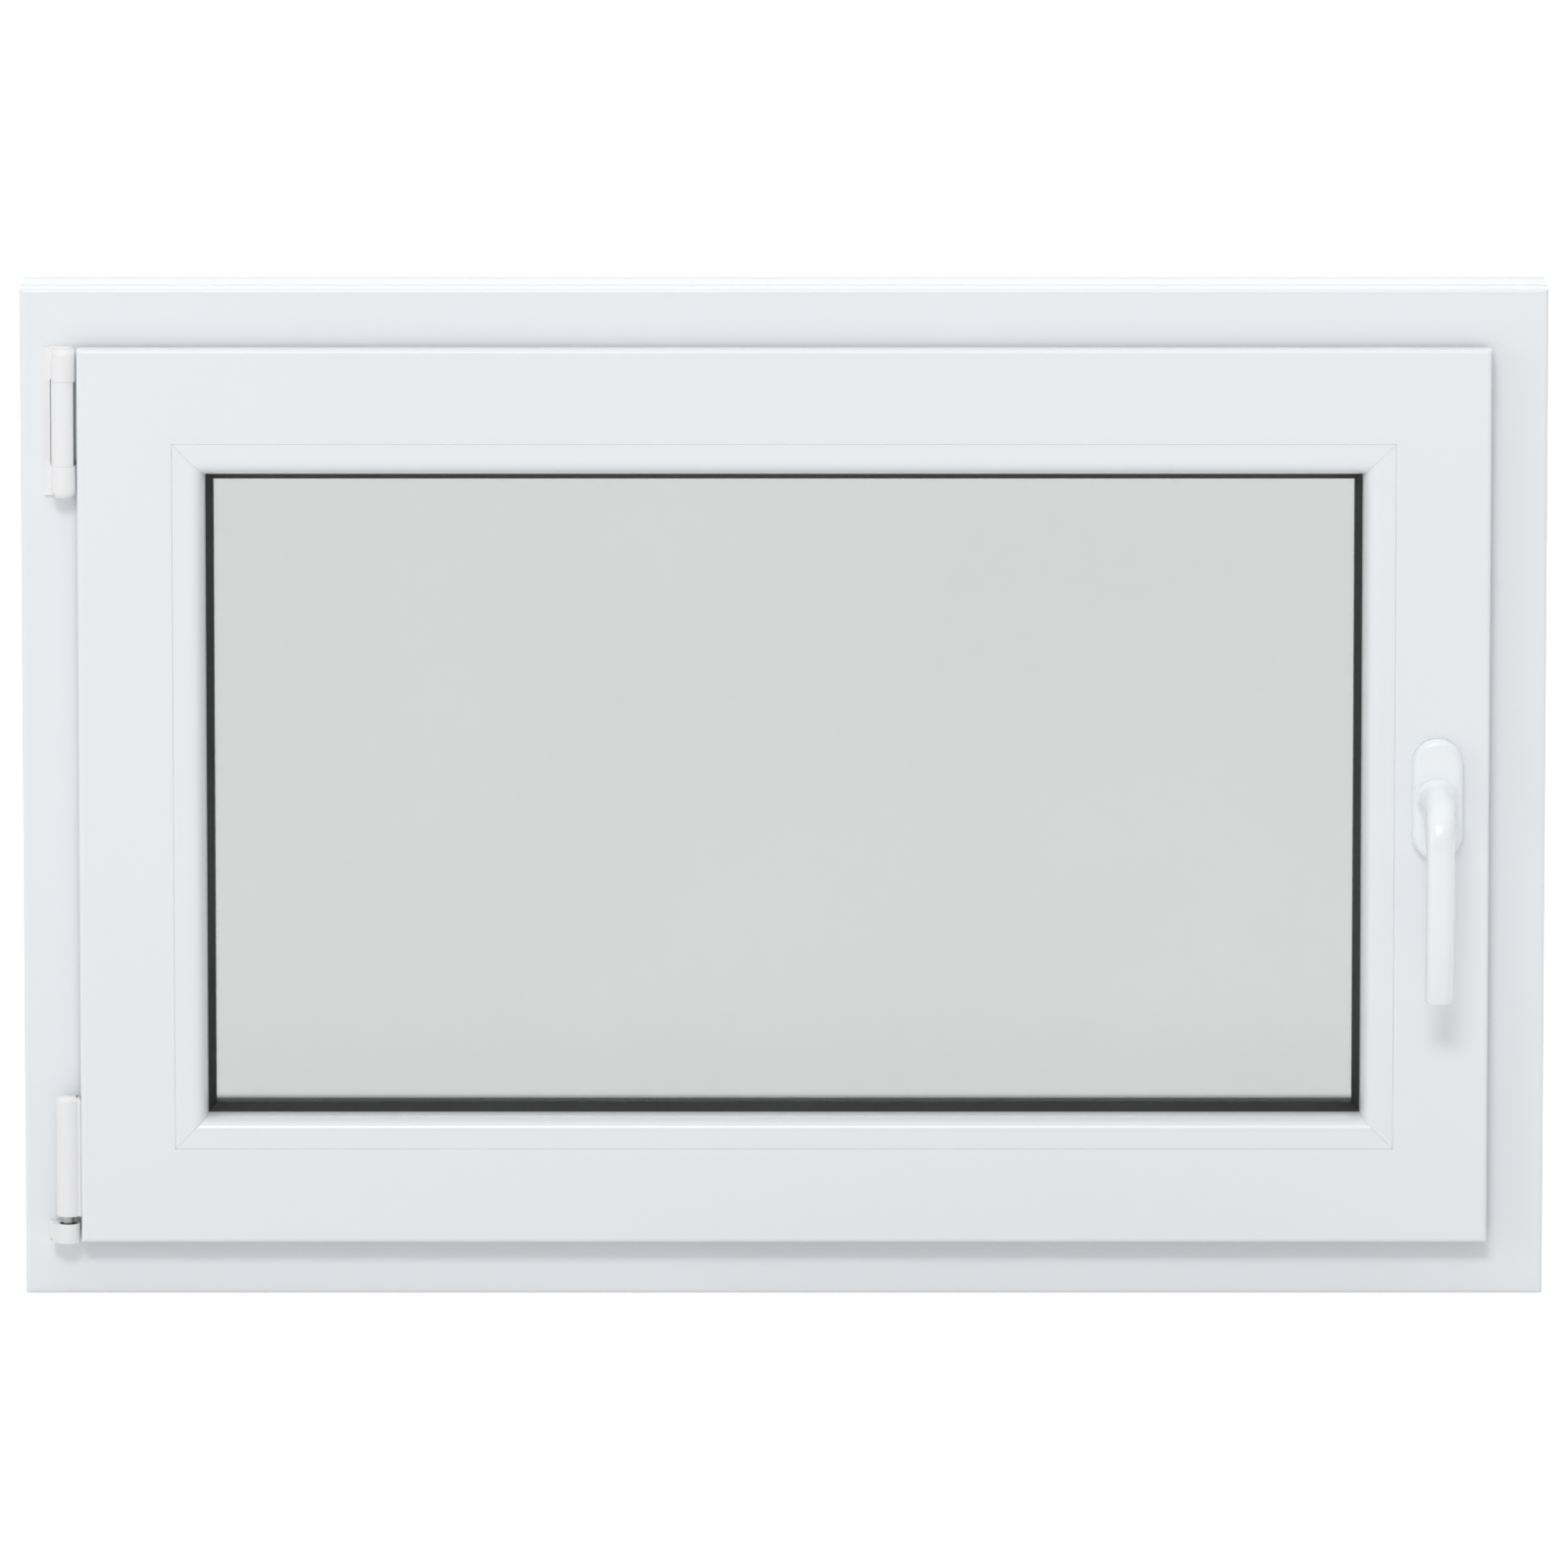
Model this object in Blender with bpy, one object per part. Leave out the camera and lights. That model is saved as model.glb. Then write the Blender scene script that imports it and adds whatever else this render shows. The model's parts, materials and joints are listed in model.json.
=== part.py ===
"""Tilt-and-turn casement window, 900 x 600 mm, hinged on the left as seen from the room.

World axes: +X to the right seen from the room, +Y to the weather side, +Z up.
The origin is the middle of the frame's underside. Sections are drawn in millimetres
as (u, v): u runs inward from the frame's outer edge, v runs back from the frame's
room face. Lengths along a member are world X (rails) or world Z (jambs and stiles).
"""

import math

import bmesh
import bpy
from mathutils import Vector

MM = 0.001

# Overall sizes, in millimetres.
WIDTH = 900.0
HEIGHT = 600.0
DEPTH = 70.0
GAP = 0.3
MITRE_GAP = GAP / math.sqrt(2.0)
ARC_STEPS = 4

# Frame section.
FRAME_FACE = 40.0
FRAME_STOP = 65.0
STOP_FRONT = 54.0
WALL = 3.0

# Sash section.
FLANGE_EDGE = 34.2
FLANGE_FRONT = -20.0
FLANGE_BACK = -4.0
SASH_REBATE = 52.0
SASH_BACK = 50.0
SASH_INNER = 92.0
BEAD_LINE = 90.0
BEAD_TIP = 109.0
BEAD_BACK = 1.0
LIP_INNER = 112.0
LIP_FRONT = 36.0

# Glazing unit.
GLASS_EDGE = 97.0
INNER_PANE = (8.0, 12.0)
OUTER_PANE = (28.0, 32.0)

# Hinge line on the left, and the ball the sash tilts on.
AXIS_U = 26.0
AXIS_V = -12.0
BALL_Z = 38.5
KNUCKLE_RADIUS = 5.2
COVER_RADII = (5.6, 7.2)
ARM_U = (44.8, 47.3)

# Handle on the lock stile.
HANDLE_U = 65.0
HANDLE_Z = HEIGHT / 2.0
PINION_TEETH = 12
GEAR_MODULE = 1.2
PITCH_RADIUS = PINION_TEETH * GEAR_MODULE / 2.0
ROD_TRAVEL = math.pi * PITCH_RADIUS

# Hardware groove around the sash: v limits of its step and of its deep part.
STEP_V = (1.0, 17.0)
DEEP_V = (3.0, 15.0)
GROOVE_V = 9.0

WHITE = ((0.80, 0.83, 0.85), 0.28, 0.0)
WHITE_CAP = ((0.79, 0.80, 0.81), 0.35, 0.0)
HANDLE_WHITE = ((0.84, 0.86, 0.88), 0.25, 0.0)
BLACK_SEAL = ((0.02, 0.02, 0.02), 0.6, 0.0)
GLASS = ((0.66, 0.70, 0.68), 0.05, 0.0)
ZINC = ((0.55, 0.55, 0.53), 0.35, 1.0)
ALUMINIUM = ((0.75, 0.75, 0.76), 0.3, 1.0)
GREY_SEAL = ((0.08, 0.08, 0.08), 0.7, 0.0)
BLOCK_GREEN = ((0.10, 0.35, 0.20), 0.5, 0.0)

SIDES = ("sill", "head", "hinge", "lock")


def clear_scene():
    """Remove every object."""
    for item in list(bpy.data.objects):
        bpy.data.objects.remove(item)


def new_collection(name):
    """Make a collection in the scene."""
    group = bpy.data.collections.new(name)
    bpy.context.scene.collection.children.link(group)
    return group


def make_finish(name, look):
    """Make a Principled material of one colour."""
    colour, roughness, metallic = look
    finish = bpy.data.materials.new(name)
    finish.use_nodes = True
    shader = finish.node_tree.nodes["Principled BSDF"]
    shader.inputs["Base Color"].default_value = (*colour, 1.0)
    shader.inputs["Roughness"].default_value = roughness
    shader.inputs["Metallic"].default_value = metallic
    return finish


def place(side, u, v, along):
    """World point, in metres, of a section point on one side of the window."""
    y = v - DEPTH / 2.0
    points = {
        "sill": (along, y, u),
        "head": (along, y, HEIGHT - u),
        "hinge": (u - WIDTH / 2.0, y, along),
        "lock": (WIDTH / 2.0 - u, y, along),
    }
    return tuple(value * MM for value in points[side])


def rounded(corners):
    """Outline through (u, v, radius) corners, each radius drawn as an arc."""
    outline = []
    count = len(corners)
    for index, (u, v, radius) in enumerate(corners):
        if radius == 0.0:
            outline.append((u, v))
            continue
        before = corners[index - 1]
        after = corners[(index + 1) % count]
        start = math.atan2(before[1] - v, before[0] - u)
        end = math.atan2(after[1] - v, after[0] - u)
        turn = (end - start + math.pi) % (2.0 * math.pi) - math.pi
        reach = radius / math.tan(abs(turn) / 2.0)
        middle = start + turn / 2.0
        to_centre = radius / math.sin(abs(turn) / 2.0)
        centre = (u + to_centre * math.cos(middle), v + to_centre * math.sin(middle))
        first = math.atan2(v + reach * math.sin(start) - centre[1], u + reach * math.cos(start) - centre[0])
        last = math.atan2(v + reach * math.sin(end) - centre[1], u + reach * math.cos(end) - centre[0])
        sweep = (last - first + math.pi) % (2.0 * math.pi) - math.pi
        for step in range(ARC_STEPS + 1):
            angle = first + sweep * step / ARC_STEPS
            outline.append((centre[0] + radius * math.cos(angle), centre[1] + radius * math.sin(angle)))
    return outline


def rectangle(low_u, high_u, low_v, high_v, radius=0.0):
    """Outline of a rectangle in the section plane."""
    return rounded([(low_u, low_v, radius), (high_u, low_v, radius), (high_u, high_v, radius), (low_u, high_v, radius)])


def arc(centre, radii, start_deg, end_deg, steps):
    """Points along an elliptical arc."""
    points = []
    for step in range(steps + 1):
        angle = math.radians(start_deg + (end_deg - start_deg) * step / steps)
        points.append((centre[0] + radii[0] * math.cos(angle), centre[1] + radii[1] * math.sin(angle)))
    return points


def extruded_mesh(name, loops, half_length, filled=True):
    """Mesh of a flat outline with its holes, extruded both ways along Z, in millimetres."""
    curve = bpy.data.curves.new(name, "CURVE")
    curve.dimensions = "2D"
    curve.fill_mode = "BOTH" if filled else "NONE"
    curve.extrude = half_length
    for loop in loops:
        spline = curve.splines.new("POLY")
        spline.points.add(len(loop) - 1)
        for point, (u, v) in zip(spline.points, loop):
            point.co = (u, v, 0.0, 1.0)
        spline.use_cyclic_u = True
    holder = bpy.data.objects.new(name, curve)
    bpy.context.scene.collection.objects.link(holder)
    bpy.context.view_layer.update()
    evaluated = holder.evaluated_get(bpy.context.evaluated_depsgraph_get())
    mesh = bpy.data.meshes.new_from_object(evaluated)
    bpy.data.objects.remove(holder)
    return mesh


def add_piece(name, work, look, parent=None, smooth=None):
    """Turn a bmesh in world metres into a finished object of the window."""
    bmesh.ops.remove_doubles(work, verts=work.verts, dist=0.000001)
    bmesh.ops.recalc_face_normals(work, faces=work.faces)
    mesh = bpy.data.meshes.new(name)
    work.to_mesh(mesh)
    work.free()
    piece = bpy.data.objects.new(name, mesh)
    WINDOW.objects.link(piece)
    mesh.materials.append(make_finish(name, look))
    if smooth is not None:
        mesh.shade_smooth()
        mesh.set_sharp_from_angle(angle=math.radians(smooth))
    if parent is not None:
        piece.parent = parent
        piece.matrix_parent_inverse = parent.matrix_world.inverted()
    return piece


def add_axis(name, position, parent=None):
    """Empty that marks a joint's axis, in metres."""
    axis = bpy.data.objects.new(name, None)
    axis.empty_display_size = 0.02
    axis.location = position
    WINDOW.objects.link(axis)
    bpy.context.view_layer.update()
    if parent is not None:
        axis.parent = parent
        axis.matrix_parent_inverse = parent.matrix_world.inverted()
        bpy.context.view_layer.update()
    return axis


def bar_into(work, name, side, loops, gap, filled):
    """Add a mitred member to a bmesh: the extrusion's ends are sheared to 45 degrees."""
    middle = 0.0 if side in ("sill", "head") else HEIGHT / 2.0
    half = WIDTH / 2.0 if side in ("sill", "head") else HEIGHT / 2.0
    mesh = extruded_mesh(name, loops, half, filled)
    for vertex in mesh.vertices:
        u, v, end = vertex.co
        reach = math.copysign(half - u - gap, end)
        vertex.co = place(side, u, v, middle + reach)
    work.from_mesh(mesh)
    bpy.data.meshes.remove(mesh)


def mitred_bar(name, side, loops, look, parent=None):
    """One member of a mitred frame, cut at 45 degrees at both ends."""
    work = bmesh.new()
    bar_into(work, name, side, loops, MITRE_GAP, True)
    return add_piece(name, work, look, parent, smooth=35.0)


def mitred_ring(name, loops, look, parent=None):
    """One section carried right round the window, with sharp corners."""
    work = bmesh.new()
    for side in SIDES:
        bar_into(work, name, side, loops, 0.0, False)
    return add_piece(name, work, look, parent, smooth=35.0)


def block_mesh(low, high):
    """Box between two corners in metres, as a bmesh."""
    work = bmesh.new()
    bmesh.ops.create_cube(work, size=1.0)
    for vertex in work.verts:
        for index in range(3):
            middle = (low[index] + high[index]) / 2.0
            vertex.co[index] = middle + vertex.co[index] * (high[index] - low[index])
    return work


def side_block(name, side, us, vs, alongs, look, parent=None, bevel=0.0):
    """Box on one side of the window, from its limits in u, v and along."""
    first = place(side, us[0], vs[0], alongs[0])
    second = place(side, us[1], vs[1], alongs[1])
    low = [min(pair) for pair in zip(first, second)]
    high = [max(pair) for pair in zip(first, second)]
    work = block_mesh(low, high)
    if bevel > 0.0:
        bmesh.ops.bevel(work, geom=work.edges[:], offset=bevel * MM, segments=2, profile=0.5, affect="EDGES")
    return add_piece(name, work, look, parent, smooth=40.0 if bevel else None)


def upright_piece(name, loops, low_z, high_z, look, parent=None, shift=(0.0, 0.0)):
    """Plan outline in (u, v) on the hinge side, standing between two heights."""
    half = (high_z - low_z) / 2.0
    mesh = extruded_mesh(name, loops, half)
    for vertex in mesh.vertices:
        u, v, end = vertex.co
        vertex.co = place("hinge", u + shift[0], v + shift[1], (low_z + high_z) / 2.0 + end)
    work = bmesh.new()
    work.from_mesh(mesh)
    bpy.data.meshes.remove(mesh)
    return add_piece(name, work, look, parent, smooth=35.0)


def facing_piece(name, loops, low_v, high_v, look, parent=None):
    """Outline in world (X, Z) millimetres, standing between two depths v."""
    half = (high_v - low_v) / 2.0
    mesh = extruded_mesh(name, loops, half)
    for vertex in mesh.vertices:
        x, z, end = vertex.co
        vertex.co = (x * MM, ((low_v + high_v) / 2.0 - DEPTH / 2.0 - end) * MM, z * MM)
    work = bmesh.new()
    work.from_mesh(mesh)
    bpy.data.meshes.remove(mesh)
    return add_piece(name, work, look, parent, smooth=35.0)


def round_bar(name, ends, radius, look, parent=None, segments=20, tip_radius=None):
    """Cylinder or cone between two points in metres."""
    work = bmesh.new()
    start, end = ends
    length = math.dist(start, end)
    tip = radius if tip_radius is None else tip_radius
    bmesh.ops.create_cone(work, cap_ends=True, segments=segments, radius1=radius * MM, radius2=tip * MM, depth=length)
    direction = [(end[index] - start[index]) / length for index in range(3)]
    middle = [(end[index] + start[index]) / 2.0 for index in range(3)]
    turn = Vector(direction).to_track_quat("Z", "Y").to_matrix().to_4x4()
    turn.translation = middle
    bmesh.ops.transform(work, matrix=turn, verts=work.verts)
    return add_piece(name, work, look, parent, smooth=50.0)


def circle(centre_u, centre_v, radius, steps=20):
    """Closed outline of a circle."""
    return arc((centre_u, centre_v), (radius, radius), 0.0, 360.0, steps)[:-1]


def as_tool(piece):
    """Move a piece to the collection of cutters and joiners."""
    WINDOW.objects.unlink(piece)
    TOOLS.objects.link(piece)
    piece.hide_render = True
    piece.display_type = "WIRE"
    return piece


def combine(piece, tool, operation="DIFFERENCE"):
    """Cut a piece with a tool, or join the tool to it."""
    boolean = piece.modifiers.new(tool.name, "BOOLEAN")
    boolean.operation = operation
    boolean.solver = "EXACT"
    boolean.object = tool
    return piece


def cut_block(piece, side, us, vs, alongs):
    """Cut a box out of a piece."""
    tool = as_tool(side_block(piece.name + "_cut_" + str(len(TOOLS.objects)), side, us, vs, alongs, ZINC))
    return combine(piece, tool)


def cut_round(piece, ends, radius):
    """Drill a round hole through a piece."""
    tool = as_tool(round_bar(piece.name + "_drill_" + str(len(TOOLS.objects)), ends, radius, ZINC))
    return combine(piece, tool)


def frame_section():
    """Outer frame: room-side leg, outer stop with its seal groove, and fixing grooves on the outside."""
    outline = rounded([
        (0.0, 0.0, 2.5), (FRAME_FACE, 0.0, 1.5), (FRAME_FACE, STOP_FRONT, 0.0),
        (57.0, STOP_FRONT, 0.0), (57.0, STOP_FRONT + 2.0, 0.0), (61.0, STOP_FRONT + 2.0, 0.0),
        (61.0, STOP_FRONT, 0.0), (FRAME_STOP, STOP_FRONT, 1.0), (FRAME_STOP, DEPTH, 2.0), (0.0, DEPTH, 2.0),
        (0.0, 58.0, 0.0), (2.5, 58.0, 0.0), (2.5, 50.0, 0.0), (0.0, 50.0, 0.0),
        (0.0, 20.0, 0.0), (2.5, 20.0, 0.0), (2.5, 12.0, 0.0), (0.0, 12.0, 0.0),
    ])
    front = rectangle(6.0, FRAME_FACE - WALL, WALL, 18.0)
    main = rectangle(6.0, FRAME_FACE - WALL, 21.0, 56.0)
    back = rectangle(6.0, FRAME_STOP - WALL, 59.0, DEPTH - WALL)
    return [outline, front, main, back]


def sash_section():
    """Sash: overlapping flange, hardware groove, glazing rebate and outer lip."""
    outline = rounded([
        (FLANGE_EDGE, FLANGE_FRONT, 3.0), (BEAD_LINE, FLANGE_FRONT, 0.8), (BEAD_LINE, -16.0, 0.0),
        (SASH_INNER, -16.0, 0.0), (SASH_INNER, LIP_FRONT, 0.0), (LIP_INNER, LIP_FRONT, 0.8),
        (LIP_INNER, SASH_BACK, 2.5), (SASH_REBATE, SASH_BACK, 1.5), (SASH_REBATE, STEP_V[1], 0.0),
        (55.0, STEP_V[1], 0.0), (55.0, DEEP_V[1], 0.0), (64.0, DEEP_V[1], 0.0), (64.0, DEEP_V[0], 0.0),
        (55.0, DEEP_V[0], 0.0), (55.0, STEP_V[0], 0.0), (SASH_REBATE, STEP_V[0], 0.0),
        (SASH_REBATE, FLANGE_BACK, 0.0), (FLANGE_EDGE, FLANGE_BACK, 1.0),
    ])
    front = rectangle(FLANGE_EDGE + WALL, 87.0, FLANGE_FRONT + WALL, -7.0)
    main = rectangle(67.0, SASH_INNER - WALL, -4.0, 33.0)
    side = rectangle(55.0, 64.0, 20.0, 33.0)
    back = rectangle(55.0, LIP_INNER - WALL, 39.0, SASH_BACK - WALL)
    return [outline, front, main, side, back]


def bead_section():
    """Glazing bead: flat front, then a quarter ellipse down to the glass, with a hollow core."""
    flat_end = 98.0
    front = FLANGE_FRONT + 0.4
    foot = SASH_INNER + GAP
    skin = 2.2
    outline = [(BEAD_LINE + GAP, front)]
    outline += arc((flat_end, BEAD_BACK), (BEAD_TIP - flat_end, BEAD_BACK - front), -90.0, 0.0, 8)
    outline += [(foot, BEAD_BACK), (foot, -16.0 - GAP), (BEAD_LINE + GAP, -16.0 - GAP)]
    hollow = [(foot + skin, front + skin)]
    hollow += arc((flat_end, -skin), (BEAD_TIP - flat_end - skin, -2.0 * skin - front), -90.0, 0.0, 6)
    hollow += [(foot + skin, -skin)]
    return [outline, hollow]


def box_tube(us, vs, wall):
    """Section of a square tube."""
    inner = rectangle(us[0] + wall, us[1] - wall, vs[0] + wall, vs[1] - wall)
    return [rectangle(us[0], us[1], vs[0], vs[1]), inner]


def steel_tube(name, side, us, vs, half_length, parent=None):
    """Straight steel reinforcement inside a rail's main chamber."""
    mesh = extruded_mesh(name, box_tube(us, vs, 2.0), half_length)
    for vertex in mesh.vertices:
        u, v, end = vertex.co
        vertex.co = place(side, u, v, end)
    work = bmesh.new()
    work.from_mesh(mesh)
    bpy.data.meshes.remove(mesh)
    return add_piece(name, work, ZINC, parent)


def build_frame():
    """Outer frame, its steels, its seal and the drain caps."""
    names = {"sill": "frame_sill", "head": "frame_head", "hinge": "frame_hinge_jamb", "lock": "frame_lock_jamb"}
    for side in SIDES:
        mitred_bar(names[side], side, frame_section(), WHITE)
    for side, name in (("sill", "frame_sill_steel"), ("head", "frame_head_steel")):
        steel_tube(name, side, (8.0, 35.0), (23.0, 54.0), WIDTH / 2.0 - 38.0)
    seal = [(57.3, 53.7), (56.4, 53.7), (56.4, 51.6), (58.6, 50.4), (61.6, 51.0), (62.0, 53.7), (60.7, 53.7),
            (60.7, 55.7), (57.3, 55.7)]
    mitred_ring("frame_gasket", [seal], BLACK_SEAL)
    for name, middle in (("drain_cap_left", -280.0), ("drain_cap_right", 280.0)):
        side_block(name, "sill", (24.0, 36.0), (DEPTH + GAP, DEPTH + 3.3), (middle - 16.0, middle + 16.0),
                   WHITE_CAP, bevel=0.8)


def build_keeps():
    """Keeps on the frame that the sash's locking cams close against."""
    keep_v = (3.0, 15.0)
    us = (FRAME_FACE + GAP, FRAME_FACE + 3.4)
    for name, side, middle in (
        ("lock_keep_upper", "lock", 450.0), ("lock_keep_lower", "lock", 130.0),
        ("head_keep", "head", 330.0), ("tilt_keep", "sill", 330.0),
    ):
        keep = side_block(name, side, us, keep_v, (middle - 24.0, middle + 24.0), ZINC)
        cut_block(keep, side, (FRAME_FACE + 1.6, FRAME_FACE + 5.0), (5.0, 12.0), (middle - 20.0, middle + 28.0))


def build_sash(parent):
    """Sash profiles, steels and room-side seal."""
    names = {"sill": "sash_bottom_rail", "head": "sash_top_rail", "hinge": "sash_hinge_stile", "lock": "sash_lock_stile"}
    bars = {}
    for side in SIDES:
        bars[side] = mitred_bar(names[side], side, sash_section(), WHITE, parent)
    for side, name in (("sill", "sash_bottom_steel"), ("head", "sash_top_steel")):
        steel_tube(name, side, (69.0, 87.0), (-2.0, 31.0), WIDTH / 2.0 - 92.0, parent)
    seal = [(35.7, -3.7), (39.4, -3.7), (38.8, -0.4), (36.4, -0.4)]
    gasket = mitred_ring("sash_gasket", [seal], BLACK_SEAL, parent)
    cut_block(gasket, "hinge", (34.0, 41.0), (-2.7, 1.0), (494.0, 549.0))
    cut_block(gasket, "hinge", (34.0, 41.0), (-2.7, 1.0), (46.0, 123.0))
    return bars


def build_glazing(parent):
    """Beads, seals, panes, spacer, edge seal and setting blocks."""
    names = {"sill": "bead_bottom", "head": "bead_top", "hinge": "bead_left", "lock": "bead_right"}
    for side in SIDES:
        mitred_bar(names[side], side, bead_section(), WHITE, parent)
    wedge = [(103.0, BEAD_BACK + GAP), (BEAD_TIP + 0.2, BEAD_BACK + GAP), (114.5, 6.5),
             (115.0, INNER_PANE[0] - GAP), (103.0, INNER_PANE[0] - GAP)]
    mitred_ring("inner_glazing_gasket", [wedge], BLACK_SEAL, parent)
    strip = [(102.0, OUTER_PANE[1] + GAP), (114.0, OUTER_PANE[1] + GAP), (112.5, LIP_FRONT - GAP),
             (102.0, LIP_FRONT - GAP)]
    mitred_ring("outer_glazing_gasket", [strip], BLACK_SEAL, parent)
    for name, depths in (("inner_pane", INNER_PANE), ("outer_pane", OUTER_PANE)):
        outline = rectangle(GLASS_EDGE - WIDTH / 2.0, WIDTH / 2.0 - GLASS_EDGE, GLASS_EDGE, HEIGHT - GLASS_EDGE, 1.0)
        facing_piece(name, [outline], depths[0], depths[1], GLASS, parent)
    cavity = (INNER_PANE[1] + GAP, OUTER_PANE[0] - GAP)
    mitred_ring("spacer_bar", [rectangle(101.0, BEAD_TIP, cavity[0], cavity[1], 0.8)], ALUMINIUM, parent)
    mitred_ring("edge_seal", [rectangle(GLASS_EDGE + GAP, 100.7, cavity[0], cavity[1])], GREY_SEAL, parent)
    for name, middle in (("setting_block_left", -260.0), ("setting_block_right", 260.0)):
        side_block(name, "sill", (SASH_INNER + GAP, GLASS_EDGE - GAP), (8.0, 32.0), (middle - 50.0, middle + 50.0),
                   BLOCK_GREEN, parent)


def strap_outline(leaf_u, leaf_v, hole):
    """Plan of a hinge leaf: a knuckle round the turn axis, a strap behind the flange, a leaf in the rebate gap."""
    back = -0.8
    thick = 1.6
    rim = arc((AXIS_U, AXIS_V), (KNUCKLE_RADIUS, KNUCKLE_RADIUS), 75.0, 390.0, 20)
    outline = rim + [(32.0, back - thick), (leaf_u[1], back - thick),
                     (leaf_u[1], leaf_v), (leaf_u[0], leaf_v), (leaf_u[0], back), (30.5, back)]
    if hole is None:
        return [outline]
    return [outline, circle(AXIS_U, AXIS_V, hole, 16)]


def stadium(centre, half_width, half_height, steps=8):
    """Outline with straight sides and round ends, standing upright."""
    straight = half_height - half_width
    top = arc((centre[0], centre[1] + straight), (half_width, half_width), 0.0, 180.0, steps)
    bottom = arc((centre[0], centre[1] - straight), (half_width, half_width), 180.0, 360.0, steps)
    return top + bottom


def cover_outline(start_deg, end_deg):
    """Plan of a moulded cover that clips round a hinge knuckle."""
    inner, outer = COVER_RADII
    rim = arc((AXIS_U, AXIS_V), (outer, outer), start_deg, end_deg, 18)
    bore = arc((AXIS_U, AXIS_V), (inner, inner), end_deg, start_deg, 14)
    return [rim + bore]


def axis_point(z):
    """World point on the turn axis at a height in millimetres."""
    return place("hinge", AXIS_U, AXIS_V, z)


def build_upper_hinge(arm_axis):
    """Stay bearing on the frame, its pin, and the stay arm that the sash hangs from."""
    plate = [(14.5, -GAP), (14.5, -3.0), (20.0, -3.0)]
    plate += arc((AXIS_U, AXIS_V), (KNUCKLE_RADIUS, KNUCKLE_RADIUS), 150.0, 405.0, 18)
    plate += [(26.5, -GAP)]
    bearing = upright_piece("stay_bearing", [plate, circle(AXIS_U, AXIS_V, 3.3, 16)], 478.0, 566.0, ZINC)
    tool = upright_piece("stay_bearing_slot", [rectangle(18.0, 40.0, -22.0, 2.0)], 496.5, 546.5, ZINC)
    combine(bearing, as_tool(tool))
    round_bar("stay_pin", (axis_point(478.6), axis_point(565.4)), 3.0, ZINC, None, 16)
    upright_piece("stay_bearing_cap", cover_outline(180.0, 285.0), 478.0, 566.0, WHITE_CAP)
    arm = upright_piece("stay_arm", strap_outline((45.0, 47.0), 15.0, 3.3), 497.0, 546.0, ZINC, arm_axis)
    leaf = as_tool(side_block("stay_arm_leaf", "hinge", (45.0, 47.0), DEEP_V, (540.0, HEIGHT - ARM_U[0]), ZINC))
    combine(arm, leaf, "UNION")
    reach = as_tool(side_block("stay_arm_reach", "head", ARM_U, DEEP_V, (-405.0, -135.0), ZINC))
    combine(arm, reach, "UNION")
    stud = (place("head", ARM_U[1] + GAP, GROOVE_V, -145.0), place("head", 51.4, GROOVE_V, -145.0))
    round_bar("stay_stud", stud, 4.0, ZINC, arm_axis)


def build_lower_hinge(turn_axis, tilt_axis):
    """Corner bearing on the frame, the socket that turns in it, and the ball band on the sash."""
    body = [(17.0, -GAP), (17.0, AXIS_V - 3.0)]
    body += arc((AXIS_U, AXIS_V), (7.2, 7.2), 200.0, 360.0, 14)
    body += [(AXIS_U + 6.5, -GAP)]
    bearing = upright_piece("corner_bearing", [body], 33.0, 44.4, ZINC)
    cut_round(bearing, (axis_point(35.0), axis_point(50.0)), 5.6)
    socket = round_bar("pivot_socket", (axis_point(35.3), axis_point(44.4)), 5.3, ZINC, turn_axis)
    cut_round(socket, (axis_point(36.0), axis_point(50.0)), 4.7)
    upright_piece("corner_bearing_cap", [rectangle(10.0, 16.7, AXIS_V - 4.0, -GAP, 1.6)], 33.0, 44.4, WHITE_CAP)
    band = upright_piece("corner_band", strap_outline((49.5, 51.7), 15.0, None), 50.0, 119.0, ZINC, tilt_axis)
    stem = as_tool(round_bar("corner_band_stem", (axis_point(37.5), axis_point(60.0)), 3.3, ZINC, None, 16))
    combine(band, stem, "UNION")
    upright_piece("corner_band_cap", cover_outline(100.0, 370.0), 49.0, 120.0, WHITE_CAP, tilt_axis)


def gear_outline():
    """Twelve stub teeth round the pinion, as straight-sided teeth on a circle."""
    outline = []
    for tooth in range(PINION_TEETH):
        middle = 2.0 * math.pi * tooth / PINION_TEETH
        for radius, half in (
            (PITCH_RADIUS - 1.4, -1.15), (PITCH_RADIUS + 0.8, -0.40),
            (PITCH_RADIUS + 0.8, 0.40), (PITCH_RADIUS - 1.4, 1.15),
        ):
            angle = middle + half / radius
            outline.append((radius * math.cos(angle), radius * math.sin(angle)))
    return outline


def rack_outline(low, high, back, pitch_line):
    """Rod seen from the room, in (X, Z), with rack teeth beside the handle facing the glass."""
    pitch = math.pi * GEAR_MODULE
    outline = [(back, low), (back, high), (pitch_line + 1.4, high)]
    for tooth in range(6, -7, -1):
        middle = HANDLE_Z + (tooth + 0.5) * pitch
        for x, half in ((1.4, 1.0), (-0.8, 0.35), (-0.8, -0.35), (1.4, -1.0)):
            outline.append((pitch_line + x, middle + half))
    outline.append((pitch_line + 1.4, low))
    return outline


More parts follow.
